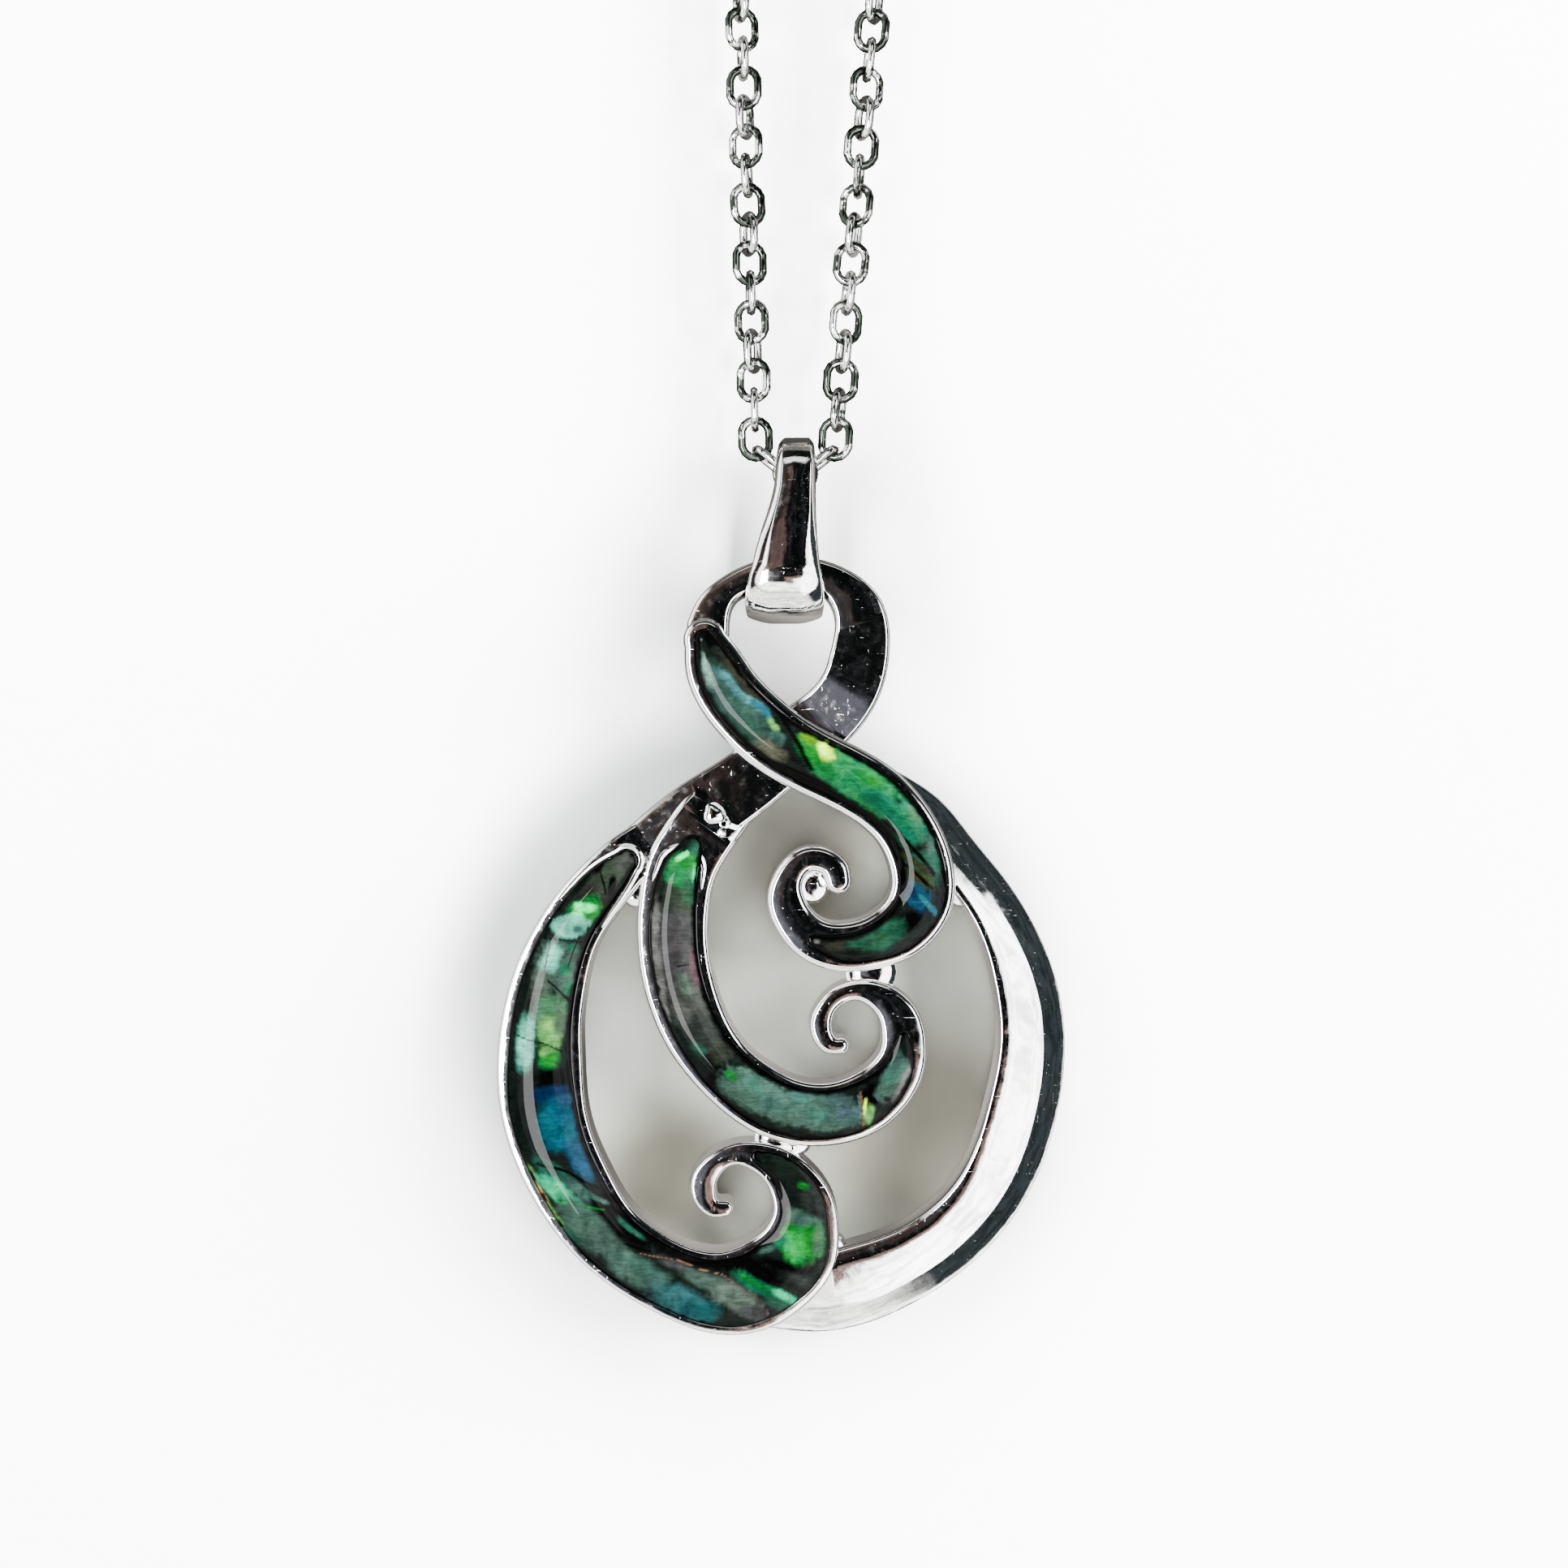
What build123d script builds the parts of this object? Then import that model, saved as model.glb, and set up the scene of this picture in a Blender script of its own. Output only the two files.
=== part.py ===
"""Silver koru twist pendant with three shell inlays, its bail and its cable chain, in millimetres.

The necklace hangs. The origin is the point where a hook holds the chain, at the top of its loop.
X is to the right, Z is up and the pendant's front faces -Y.
"""
import math
import os

from build123d import *

os.makedirs("parts", exist_ok=True)

# Cast frame: the disc is 28 mm wide, and its ribbons follow its radius
disc_radius = 14.0
frame_depth = 2.4
twist_rise = 0.9
twist_back = 0.5
band_drop = 0.2
edge_bevel = 0.26
crescent_bevel = 1.1
crescent_depth = 0.55
lump_sink = 0.4
pocket_drop = 0.3

# Cells and the inlays that sit in them
cell_depth = 0.8
inlay_gap = 0.05
dome_height = 0.32
dome_share = 0.55

# Bail: a strap bent round the chain at its top and the frame's loop at its bottom
bail_wall = 0.68
bail_width = 3.85
bail_span = 5.01
link_room = 0.24
band_room = 0.305

# Cable chain
wire = 0.31
link_width = 1.72
link_length = 2.2
link_slack = 0.13
links_each_side = 18
first_turn = 40.0
left_lean = 1.9
right_lean = 5.05
end_gap = 0.15

# Clasp, one plain piece in the hidden stretch
clasp_length = 9.0
clasp_width = 3.4
clasp_depth = 2.0
clasp_slot = 1.1
clasp_drop = 20.0

# Where the bail's bore sits on the chain, how far to the side the frame's loop hangs below it,
# and the band section that hangs there, from the disc's centre, as shares of the disc radius
bail_x = -5.5
bail_z = -214.3
loop_shift = -0.56
hung_x = 0.006
hung_z = 1.678
hung_width = 0.115

# Route of the chain's hidden stretch, x and z: straight up, round the hook, and down again
chain_route = [
    (-14.3, -7.65),
    (-5.7, 1.05),
    (6.5, 0.65),
    (14.6, -8.45),
]

# Each row is a section of a ribbon: x, z, width and cell width, as shares of the disc radius
twist_rows = [
    (-0.270, 1.440, 0.150, 0.070),
    (-0.245, 1.370, 0.200, 0.120),
    (-0.205, 1.285, 0.225, 0.150),
    (-0.135, 1.195, 0.235, 0.165),
    (-0.030, 1.100, 0.240, 0.170),
    (0.080, 1.030, 0.235, 0.170),
    (0.220, 0.960, 0.230, 0.165),
    (0.345, 0.880, 0.225, 0.160),
    (0.435, 0.775, 0.215, 0.150),
    (0.485, 0.650, 0.220, 0.155),
    (0.485, 0.540, 0.225, 0.160),
    (0.425, 0.445, 0.215, 0.150),
    (0.315, 0.385, 0.185, 0.120),
    (0.205, 0.370, 0.170, 0.090),
    (0.110, 0.395, 0.155, 0.040),
    (0.040, 0.465, 0.140, 0.000),
    (0.010, 0.555, 0.125, 0.000),
    (0.030, 0.625, 0.100, 0.000),
    (0.085, 0.675, 0.090, 0.000),
    (0.150, 0.670, 0.090, 0.000),
    (0.185, 0.640, 0.095, 0.000),
    (0.195, 0.600, 0.090, 0.000),
]
band_rows = [
    (-0.260, 1.490, 0.150, 0.000),
    (-0.235, 1.570, 0.120, 0.000),
    (-0.170, 1.635, 0.095, 0.000),
    (0.005, 1.680, 0.115, 0.000),
    (0.160, 1.660, 0.115, 0.000),
    (0.265, 1.555, 0.175, 0.000),
    (0.275, 1.410, 0.205, 0.000),
    (0.240, 1.280, 0.215, 0.000),
    (0.155, 1.170, 0.225, 0.000),
    (0.025, 1.070, 0.240, 0.000),
    (-0.110, 0.955, 0.235, 0.000),
    (-0.240, 0.865, 0.245, 0.000),
    (-0.365, 0.780, 0.240, 0.000),
    (-0.495, 0.690, 0.205, 0.000),
]
middle_rows = [
    (-0.170, 0.910, 0.225, 0.000),
    (-0.260, 0.800, 0.240, 0.000),
    (-0.315, 0.720, 0.245, 0.075),
    (-0.355, 0.640, 0.250, 0.130),
    (-0.375, 0.555, 0.250, 0.150),
    (-0.385, 0.430, 0.250, 0.165),
    (-0.375, 0.300, 0.250, 0.165),
    (-0.340, 0.165, 0.245, 0.165),
    (-0.285, 0.045, 0.235, 0.160),
    (-0.210, -0.055, 0.225, 0.160),
    (-0.120, -0.135, 0.230, 0.165),
    (-0.015, -0.195, 0.230, 0.170),
    (0.085, -0.220, 0.225, 0.170),
    (0.195, -0.215, 0.220, 0.165),
    (0.300, -0.175, 0.215, 0.155),
    (0.375, -0.110, 0.195, 0.125),
    (0.420, -0.025, 0.170, 0.085),
    (0.425, 0.050, 0.155, 0.035),
    (0.400, 0.135, 0.135, 0.000),
    (0.345, 0.190, 0.105, 0.000),
    (0.270, 0.215, 0.075, 0.000),
    (0.205, 0.200, 0.070, 0.000),
    (0.155, 0.155, 0.070, 0.000),
    (0.135, 0.095, 0.080, 0.000),
    (0.145, 0.050, 0.075, 0.000),
    (0.175, 0.020, 0.065, 0.000),
    (0.205, 0.020, 0.060, 0.000),
]
outer_rows = [
    (-0.380, 0.780, 0.170, 0.000),
    (-0.480, 0.715, 0.180, 0.000),
    (-0.545, 0.670, 0.185, 0.075),
    (-0.595, 0.620, 0.195, 0.115),
    (-0.670, 0.535, 0.210, 0.140),
    (-0.750, 0.415, 0.225, 0.160),
    (-0.805, 0.280, 0.255, 0.185),
    (-0.840, 0.125, 0.280, 0.205),
    (-0.850, -0.030, 0.300, 0.220),
    (-0.840, -0.190, 0.300, 0.235),
    (-0.800, -0.340, 0.290, 0.225),
    (-0.730, -0.485, 0.280, 0.215),
    (-0.630, -0.630, 0.260, 0.205),
    (-0.505, -0.735, 0.255, 0.200),
    (-0.375, -0.805, 0.260, 0.205),
    (-0.270, -0.840, 0.280, 0.220),
    (-0.170, -0.845, 0.300, 0.240),
    (-0.075, -0.815, 0.305, 0.240),
    (0.005, -0.760, 0.295, 0.235),
    (0.060, -0.690, 0.280, 0.215),
    (0.075, -0.620, 0.250, 0.180),
    (0.075, -0.545, 0.220, 0.155),
    (0.040, -0.465, 0.180, 0.125),
    (-0.015, -0.405, 0.140, 0.090),
    (-0.085, -0.370, 0.105, 0.045),
    (-0.170, -0.360, 0.075, 0.000),
    (-0.235, -0.395, 0.075, 0.000),
    (-0.275, -0.455, 0.090, 0.000),
    (-0.270, -0.515, 0.080, 0.000),
    (-0.240, -0.550, 0.065, 0.000),
    (-0.200, -0.550, 0.055, 0.000),
]
crescent_rows = [
    (0.385, 0.915, 0.140, 0.000),
    (0.500, 0.830, 0.155, 0.000),
    (0.600, 0.700, 0.170, 0.000),
    (0.715, 0.550, 0.180, 0.000),
    (0.790, 0.420, 0.195, 0.000),
    (0.845, 0.270, 0.220, 0.000),
    (0.875, 0.115, 0.235, 0.000),
    (0.875, -0.030, 0.245, 0.000),
    (0.845, -0.205, 0.255, 0.000),
    (0.795, -0.370, 0.255, 0.000),
    (0.705, -0.535, 0.250, 0.000),
    (0.580, -0.665, 0.255, 0.000),
    (0.430, -0.760, 0.270, 0.000),
    (0.280, -0.820, 0.290, 0.000),
    (0.120, -0.855, 0.285, 0.000),
    (-0.040, -0.855, 0.255, 0.000),
]

# Solder bridges between neighbours: x, z and radius, as shares of the disc radius
bridge_rows = [
    (0.285, 0.275, 0.075),
    (0.355, 0.270, 0.060),
    (-0.020, -0.315, 0.070),
    (0.045, -0.315, 0.055),
    (0.630, 0.555, 0.045),
    (-0.515, 0.550, 0.045),
    (0.170, -0.710, 0.060),
]

# Front outline of the bail: depth below its top as a share of its height,
# then its left and right edges as shares of its width
bail_rows = [
    (0.00, -0.20, 0.23),
    (0.11, -0.24, 0.255),
    (0.28, -0.275, 0.26),
    (0.45, -0.385, 0.265),
    (0.62, -0.505, 0.29),
    (0.79, -0.60, 0.34),
    (0.93, -0.635, 0.36),
    (1.00, -0.59, 0.32),
]

loop_x = bail_x + loop_shift
loop_z = bail_z - bail_span
disc_x = loop_x - hung_x * disc_radius
disc_z = loop_z - hung_z * disc_radius
disc_front = frame_depth / 2
band_front = disc_front - band_drop
twist_front = disc_front + twist_rise


def edge_points(rows, column, side, inset, share):
    """Points along one side of a ribbon, at this share of half its width less the inset."""
    points = []
    for number, row in enumerate(rows):
        before = rows[max(number - 1, 0)]
        after = rows[min(number + 1, len(rows) - 1)]
        run_x = after[0] - before[0]
        run_z = after[1] - before[1]
        run = math.hypot(run_x, run_z)
        half = (row[column] * disc_radius / 2 - inset) * share
        x = row[0] * disc_radius - side * run_z / run * half
        z = row[1] * disc_radius + side * run_x / run * half
        points.append((x, z))
    return points


def cap_point(start, end, outward):
    """Outermost point of a round end between two edge points, on the outward side."""
    middle_x = (start[0] + end[0]) / 2
    middle_z = (start[1] + end[1]) / 2
    half = math.hypot(end[0] - start[0], end[1] - start[1]) / 2
    run = math.hypot(outward[0], outward[1])
    return (middle_x + outward[0] / run * half, middle_z + outward[1] / run * half)


def ribbon_face(rows, column, front, left_inset, right_inset, share=1.0):
    """Closed outline of a ribbon with two round ends, on the plane at this height to the front."""
    left = edge_points(rows, column, 1, left_inset, share)
    right = edge_points(rows, column, -1, right_inset, share)
    backward = (rows[0][0] - rows[1][0], rows[0][1] - rows[1][1])
    forward = (rows[-1][0] - rows[-2][0], rows[-1][1] - rows[-2][1])
    place = Plane(origin=(disc_x, -front, disc_z), x_dir=(1, 0, 0), z_dir=(0, -1, 0))
    with BuildSketch(place) as outline:
        with BuildLine():
            Spline(*left)
            ThreePointArc(left[-1], cap_point(left[-1], right[-1], forward), right[-1])
            Spline(*right)
            ThreePointArc(left[0], cap_point(left[0], right[0], backward), right[0])
        make_face()
    return outline.sketch


def cell_rows(rows):
    """The sections of a ribbon that carry its cell."""
    return [row for row in rows if row[3] > 0]


def spot(x, z, front):
    """A plane at a place on the disc, given as shares, at this height to the front."""
    x = disc_x + x * disc_radius
    z = disc_z + z * disc_radius
    return Plane(origin=(x, -front, z), x_dir=(1, 0, 0), z_dir=(0, -1, 0))


# Ribbons of the casting: rows, front height, back height, and bevel on the left and right
ribbons = [
    (twist_rows, twist_front, -disc_front + twist_back, edge_bevel, edge_bevel, edge_bevel),
    (band_rows, band_front, -disc_front, edge_bevel, edge_bevel, edge_bevel),
    (middle_rows, disc_front, -disc_front, edge_bevel, edge_bevel, edge_bevel),
    (outer_rows, disc_front, -disc_front, edge_bevel, edge_bevel, edge_bevel),
    (crescent_rows, band_front, -disc_front, crescent_bevel, edge_bevel, crescent_depth),
]

with BuildPart() as pendant_frame:
    for rows, front, back, left_bevel, right_bevel, slope in ribbons:
        sections = [
            ribbon_face(rows, 2, back, edge_bevel, edge_bevel),
            ribbon_face(rows, 2, back + edge_bevel, 0, 0),
            ribbon_face(rows, 2, front - slope, 0, 0),
            ribbon_face(rows, 2, front, left_bevel, right_bevel),
        ]
        loft(sections, ruled=True)
    for x, z, radius in bridge_rows:
        with BuildSketch(spot(x, z, -disc_front + edge_bevel)):
            Circle(radius * disc_radius)
        extrude(amount=band_front - edge_bevel * 2 + disc_front)
    # Sloping floor that closes the small koru beside its bulb
    with BuildSketch(spot(0.105, 0.575, -disc_front + twist_back)):
        Circle(0.055 * disc_radius)
    extrude(amount=frame_depth - twist_back - pocket_drop)
    # Lump of the soldered joint on the lower band
    with Locations(spot(-0.240, 0.830, band_front - lump_sink)):
        Sphere(0.05 * disc_radius)
    for rows, front in [(twist_rows, twist_front), (middle_rows, disc_front), (outer_rows, disc_front)]:
        extrude(
            ribbon_face(cell_rows(rows), 3, front, 0, 0),
            amount=-cell_depth,
            mode=Mode.SUBTRACT,
        )
pendant_frame.part.label = "pendant_frame"


def inlay(rows, front):
    """A domed inlay that fills a ribbon's cell, clear of its floor and walls."""
    shape = cell_rows(rows)
    floor = front - cell_depth + inlay_gap
    sections = [
        ribbon_face(shape, 3, floor, inlay_gap, inlay_gap),
        ribbon_face(shape, 3, front, inlay_gap, inlay_gap),
        ribbon_face(shape, 3, front + dome_height, inlay_gap, inlay_gap, dome_share),
    ]
    with BuildPart() as piece:
        loft(sections, ruled=True)
    return piece.part


with BuildPart() as inlay_twist:
    add(inlay(twist_rows, twist_front))
inlay_twist.part.label = "inlay_twist"

with BuildPart() as inlay_middle:
    add(inlay(middle_rows, disc_front))
inlay_middle.part.label = "inlay_middle"

with BuildPart() as inlay_outer:
    add(inlay(outer_rows, disc_front))
inlay_outer.part.label = "inlay_outer"

# Bail: side profile round its two bores, cut to its tapered front outline
bail_top_bore = link_width / 2 + link_room
bail_loop_bore = math.hypot(hung_width * disc_radius / 2, disc_front) + band_room
bail_top = bail_z + bail_top_bore + bail_wall
bail_bottom = loop_z - bail_loop_bore - bail_wall
bail_height = bail_top - bail_bottom
with BuildPart() as bail:
    with BuildSketch(Plane.YZ.offset(bail_x - bail_width)):
        with Locations((0, bail_z)):
            Circle(bail_top_bore + bail_wall)
        with Locations((0, loop_z)):
            Circle(bail_loop_bore + bail_wall)
        make_hull()
    extrude(amount=bail_width * 2)
    with BuildSketch(Plane.YZ.offset(bail_x - bail_width)):
        with Locations((0, bail_z)):
            Circle(bail_top_bore)
        with Locations((0, loop_z)):
            Circle(bail_loop_bore)
        make_hull()
    extrude(amount=bail_width * 2, mode=Mode.SUBTRACT)
    with BuildSketch(Plane.XZ):
        with BuildLine():
            left = [(bail_x + row[1] * bail_width, bail_top - row[0] * bail_height) for row in bail_rows]
            right = [(bail_x + row[2] * bail_width, bail_top - row[0] * bail_height) for row in bail_rows]
            Spline(*left)
            Line(left[-1], right[-1])
            Spline(*right)
            Line(right[0], left[0])
        make_face()
    extrude(amount=bail_width, both=True, mode=Mode.INTERSECT)
bail.part.label = "bail"

# One oval link, lying along X with its hole along Z
with BuildPart() as link:
    with BuildLine() as ring:
        bend = (link_width - wire) / 2
        reach = (link_length - wire) / 2 - bend
        Line((-reach, bend), (reach, bend))
        CenterArc((reach, 0), bend, 90, -180)
        Line((reach, -bend), (-reach, -bend))
        CenterArc((-reach, 0), bend, 270, -180)
    with BuildSketch(Plane(origin=(0, bend, 0), x_dir=(0, 1, 0), z_dir=(1, 0, 0))):
        Circle(wire / 2)
    sweep(path=ring.wires()[0])

half_link = (link_length - wire) / 2
overlap = wire + link_slack


def link_places():
    """Places of the visible links, from the one in the bail up each strand, and each strand's end."""
    places = [((0, 0), 0.0, True)]
    ends = []
    for side, lean in ((-1, left_lean), (1, right_lean)):
        x, z, turned = 0.0, 0.0, 0.0
        for number in range(1, links_each_side + 1):
            upright = number % 2 == 0
            heading = first_turn if number == 1 else 90 - lean
            old, new = math.radians(turned), math.radians(heading)
            # The two wires hook along the heading of the link that stands upright
            held = new if upright else old
            x = x + side * (half_link * (math.cos(old) + math.cos(new)) - overlap * math.cos(held))
            z = z + half_link * (math.sin(old) + math.sin(new)) - overlap * math.sin(held)
            turned = heading
            places.append(((x, z), heading if side > 0 else 180 - heading, upright))
        last = math.radians(turned)
        away = link_length / 2 + end_gap
        ends.append((bail_x + x + side * away * math.cos(last), bail_z + z + away * math.sin(last)))
    return places, ends


places, strand_ends = link_places()
with BuildPart() as chain_front:
    links = []
    for (x, z), heading, upright in places:
        angle = math.radians(heading)
        along = (math.cos(angle), 0, math.sin(angle))
        across = (0, -1, 0) if upright else (-math.sin(angle), 0, math.cos(angle))
        stand = Plane(origin=(bail_x + x, 0, bail_z + z), x_dir=along, z_dir=across)
        links.append(stand.location * link.part)
    add(links)
chain_front.part.label = "chain_front"

# Hidden stretch: a tube of the links' width round the hook, with the clasp let into its right run
left_end, right_end = strand_ends
corner = chain_route[-1]
fall = math.hypot(corner[0] - right_end[0], corner[1] - right_end[1])
fall_x = (right_end[0] - corner[0]) / fall
fall_z = (right_end[1] - corner[1]) / fall
clasp_start = (corner[0] + fall_x * clasp_drop, corner[1] + fall_z * clasp_drop)
clasp_stop_at = clasp_drop + clasp_length + end_gap * 2
clasp_stop = (corner[0] + fall_x * clasp_stop_at, corner[1] + fall_z * clasp_stop_at)
route = [left_end] + chain_route + [clasp_start]
radii = []
for before, here, after in zip(route, route[1:], route[2:]):
    first = Vector(here[0] - before[0], here[1] - before[1])
    second = Vector(after[0] - here[0], after[1] - here[1])
    shorter = min(first.length, second.length)
    radii.append(0.45 * shorter / math.tan(math.radians(first.get_angle(second)) / 2))
print("chain_back radii", [round(radius, 1) for radius in radii])

with BuildPart() as chain_back:
    with BuildLine(Plane.XZ) as long_path:
        FilletPolyline(*route, radius=radii)
    with BuildSketch(Plane(origin=long_path.line @ 0, z_dir=long_path.line % 0)):
        Circle(link_width / 2)
    sweep(path=long_path.wires()[0])
    with BuildLine(Plane.XZ) as short_path:
        Line(clasp_stop, right_end)
    with BuildSketch(Plane(origin=short_path.line @ 0, z_dir=short_path.line % 0)):
        Circle(link_width / 2)
    sweep(path=short_path.wires()[0])
chain_back.part.label = "chain_back"
loop_length = long_path.wires()[0].length + short_path.wires()[0].length + clasp_length + end_gap * 4
loop_length = loop_length + (half_link * 2 - overlap) * (2 * links_each_side) + link_length
print("chain length", round(loop_length, 1))

# Clasp: a rounded slug with a slot through it, in line with the chain
clasp_middle_at = clasp_drop + end_gap + clasp_length / 2
clasp_middle = (corner[0] + fall_x * clasp_middle_at, 0, corner[1] + fall_z * clasp_middle_at)
with BuildPart() as clasp:
    with BuildSketch(Plane(origin=clasp_middle, x_dir=(fall_x, 0, fall_z), z_dir=(0, -1, 0))):
        SlotOverall(clasp_length, clasp_width)
        SlotOverall(clasp_length - clasp_width, clasp_slot, mode=Mode.SUBTRACT)
    extrude(amount=clasp_depth / 2, both=True)
clasp.part.label = "clasp"

for piece in (pendant_frame, inlay_twist, inlay_middle, inlay_outer, bail, chain_front, chain_back, clasp):
    export_step(piece.part, f"parts/{piece.part.label}.step")
    box = piece.part.bounding_box()
    print(
        piece.part.label,
        "solids", len(piece.part.solids()),
        "valid", piece.part.is_valid,
        "volume", round(piece.part.volume, 2),
        "box", [round(value, 2) for value in (*box.min, *box.max)],
    )
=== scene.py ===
"""Koru pendant necklace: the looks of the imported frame, in metres, hung in front of white paper."""
import logging
import math
from dataclasses import dataclass
from enum import Enum
from typing import Callable, Sequence

import bmesh
import bpy
import numpy as np
from mathutils import Matrix, Vector, noise


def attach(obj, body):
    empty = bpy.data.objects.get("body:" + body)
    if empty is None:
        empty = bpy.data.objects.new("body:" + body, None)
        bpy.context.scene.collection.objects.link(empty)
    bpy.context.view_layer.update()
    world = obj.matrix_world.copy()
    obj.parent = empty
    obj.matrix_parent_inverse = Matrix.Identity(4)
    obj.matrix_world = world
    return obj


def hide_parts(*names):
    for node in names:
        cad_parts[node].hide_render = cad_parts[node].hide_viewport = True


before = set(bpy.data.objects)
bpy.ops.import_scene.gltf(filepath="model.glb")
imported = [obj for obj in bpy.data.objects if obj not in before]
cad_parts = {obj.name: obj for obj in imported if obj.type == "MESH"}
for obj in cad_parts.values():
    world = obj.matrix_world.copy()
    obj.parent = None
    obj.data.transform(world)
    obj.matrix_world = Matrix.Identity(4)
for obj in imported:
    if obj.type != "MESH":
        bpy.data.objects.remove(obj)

logging.basicConfig(level=logging.INFO, format="%(message)s")
LOG = logging.getLogger("koru")

MM = 0.001
WELD = 2e-7

# Places in the photograph's plane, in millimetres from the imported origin
DISC_RADIUS = 14.0
DISC_X = -6.144
DISC_Z = -242.802
BAIL_X = -5.5
BAIL_Z = -214.3
LOOP_Z = -219.31

# Heights to the front, in millimetres, as the source has them
FRONT = 1.2
BAND_FRONT = 1.0
TWIST_FRONT = 2.1
BACK = -1.2
TWIST_BACK = -0.7

# Columns of the sections that hold a ribbon's width and its cell's width
WIDTH = 2
CELL_WIDTH = 3

# Sections of the ribbons: x, z, width and cell width, as shares of the disc radius
TWIST_ROWS = (
    (-0.270, 1.440, 0.150, 0.070), (-0.245, 1.370, 0.200, 0.120), (-0.205, 1.285, 0.225, 0.150),
    (-0.135, 1.195, 0.235, 0.165), (-0.030, 1.100, 0.240, 0.170), (0.080, 1.030, 0.235, 0.170),
    (0.220, 0.960, 0.230, 0.165), (0.345, 0.880, 0.225, 0.160), (0.435, 0.775, 0.215, 0.150),
    (0.485, 0.650, 0.220, 0.155), (0.485, 0.540, 0.225, 0.160), (0.425, 0.445, 0.215, 0.150),
    (0.315, 0.385, 0.185, 0.120), (0.205, 0.370, 0.170, 0.090), (0.110, 0.395, 0.155, 0.040),
    (0.040, 0.465, 0.140, 0.000), (0.010, 0.555, 0.125, 0.000), (0.030, 0.625, 0.100, 0.000),
    (0.085, 0.675, 0.090, 0.000), (0.150, 0.670, 0.090, 0.000), (0.185, 0.640, 0.095, 0.000),
    (0.195, 0.600, 0.090, 0.000),
)
BAND_ROWS = (
    (-0.260, 1.490, 0.150, 0.000), (-0.235, 1.570, 0.120, 0.000), (-0.170, 1.635, 0.095, 0.000),
    (0.005, 1.680, 0.115, 0.000), (0.160, 1.660, 0.115, 0.000), (0.265, 1.555, 0.175, 0.000),
    (0.275, 1.410, 0.205, 0.000), (0.240, 1.280, 0.215, 0.000), (0.155, 1.170, 0.225, 0.000),
    (0.025, 1.070, 0.240, 0.000), (-0.110, 0.955, 0.235, 0.000), (-0.240, 0.865, 0.245, 0.000),
    (-0.365, 0.780, 0.240, 0.000), (-0.495, 0.690, 0.205, 0.000),
)
MIDDLE_ROWS = (
    (-0.170, 0.910, 0.225, 0.000), (-0.260, 0.800, 0.240, 0.000), (-0.315, 0.720, 0.245, 0.075),
    (-0.355, 0.640, 0.250, 0.130), (-0.375, 0.555, 0.250, 0.150), (-0.385, 0.430, 0.250, 0.165),
    (-0.375, 0.300, 0.250, 0.165), (-0.340, 0.165, 0.245, 0.165), (-0.285, 0.045, 0.235, 0.160),
    (-0.210, -0.055, 0.225, 0.160), (-0.120, -0.135, 0.230, 0.165), (-0.015, -0.195, 0.230, 0.170),
    (0.085, -0.220, 0.225, 0.170), (0.195, -0.215, 0.220, 0.165), (0.300, -0.175, 0.215, 0.155),
    (0.375, -0.110, 0.195, 0.125), (0.420, -0.025, 0.170, 0.085), (0.425, 0.050, 0.155, 0.035),
    (0.400, 0.135, 0.135, 0.000), (0.345, 0.190, 0.105, 0.000), (0.270, 0.215, 0.075, 0.000),
    (0.205, 0.200, 0.070, 0.000), (0.155, 0.155, 0.070, 0.000), (0.135, 0.095, 0.080, 0.000),
    (0.145, 0.050, 0.075, 0.000), (0.175, 0.020, 0.065, 0.000), (0.205, 0.020, 0.060, 0.000),
)
OUTER_ROWS = (
    (-0.380, 0.780, 0.170, 0.000), (-0.480, 0.715, 0.180, 0.000), (-0.545, 0.670, 0.185, 0.075),
    (-0.595, 0.620, 0.195, 0.115), (-0.670, 0.535, 0.210, 0.140), (-0.750, 0.415, 0.225, 0.160),
    (-0.805, 0.280, 0.255, 0.185), (-0.840, 0.125, 0.280, 0.205), (-0.850, -0.030, 0.300, 0.220),
    (-0.840, -0.190, 0.300, 0.235), (-0.800, -0.340, 0.290, 0.225), (-0.730, -0.485, 0.280, 0.215),
    (-0.630, -0.630, 0.260, 0.205), (-0.505, -0.735, 0.255, 0.200), (-0.375, -0.805, 0.260, 0.205),
    (-0.270, -0.840, 0.280, 0.220), (-0.170, -0.845, 0.300, 0.240), (-0.075, -0.815, 0.305, 0.240),
    (0.005, -0.760, 0.295, 0.235), (0.060, -0.690, 0.280, 0.215), (0.075, -0.620, 0.250, 0.180),
    (0.075, -0.545, 0.220, 0.155), (0.040, -0.465, 0.180, 0.125), (-0.015, -0.405, 0.140, 0.090),
    (-0.085, -0.370, 0.105, 0.045), (-0.170, -0.360, 0.075, 0.000), (-0.235, -0.395, 0.075, 0.000),
    (-0.275, -0.455, 0.090, 0.000), (-0.270, -0.515, 0.080, 0.000), (-0.240, -0.550, 0.065, 0.000),
    (-0.200, -0.550, 0.055, 0.000),
)
CRESCENT_ROWS = (
    (0.385, 0.915, 0.140, 0.000), (0.500, 0.830, 0.155, 0.000), (0.600, 0.700, 0.170, 0.000),
    (0.715, 0.550, 0.180, 0.000), (0.790, 0.420, 0.195, 0.000), (0.845, 0.270, 0.220, 0.000),
    (0.875, 0.115, 0.235, 0.000), (0.875, -0.030, 0.245, 0.000), (0.845, -0.205, 0.255, 0.000),
    (0.795, -0.370, 0.255, 0.000), (0.705, -0.535, 0.250, 0.000), (0.580, -0.665, 0.255, 0.000),
    (0.430, -0.760, 0.270, 0.000), (0.280, -0.820, 0.290, 0.000), (0.120, -0.855, 0.285, 0.000),
    (-0.040, -0.855, 0.255, 0.000),
)

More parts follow.
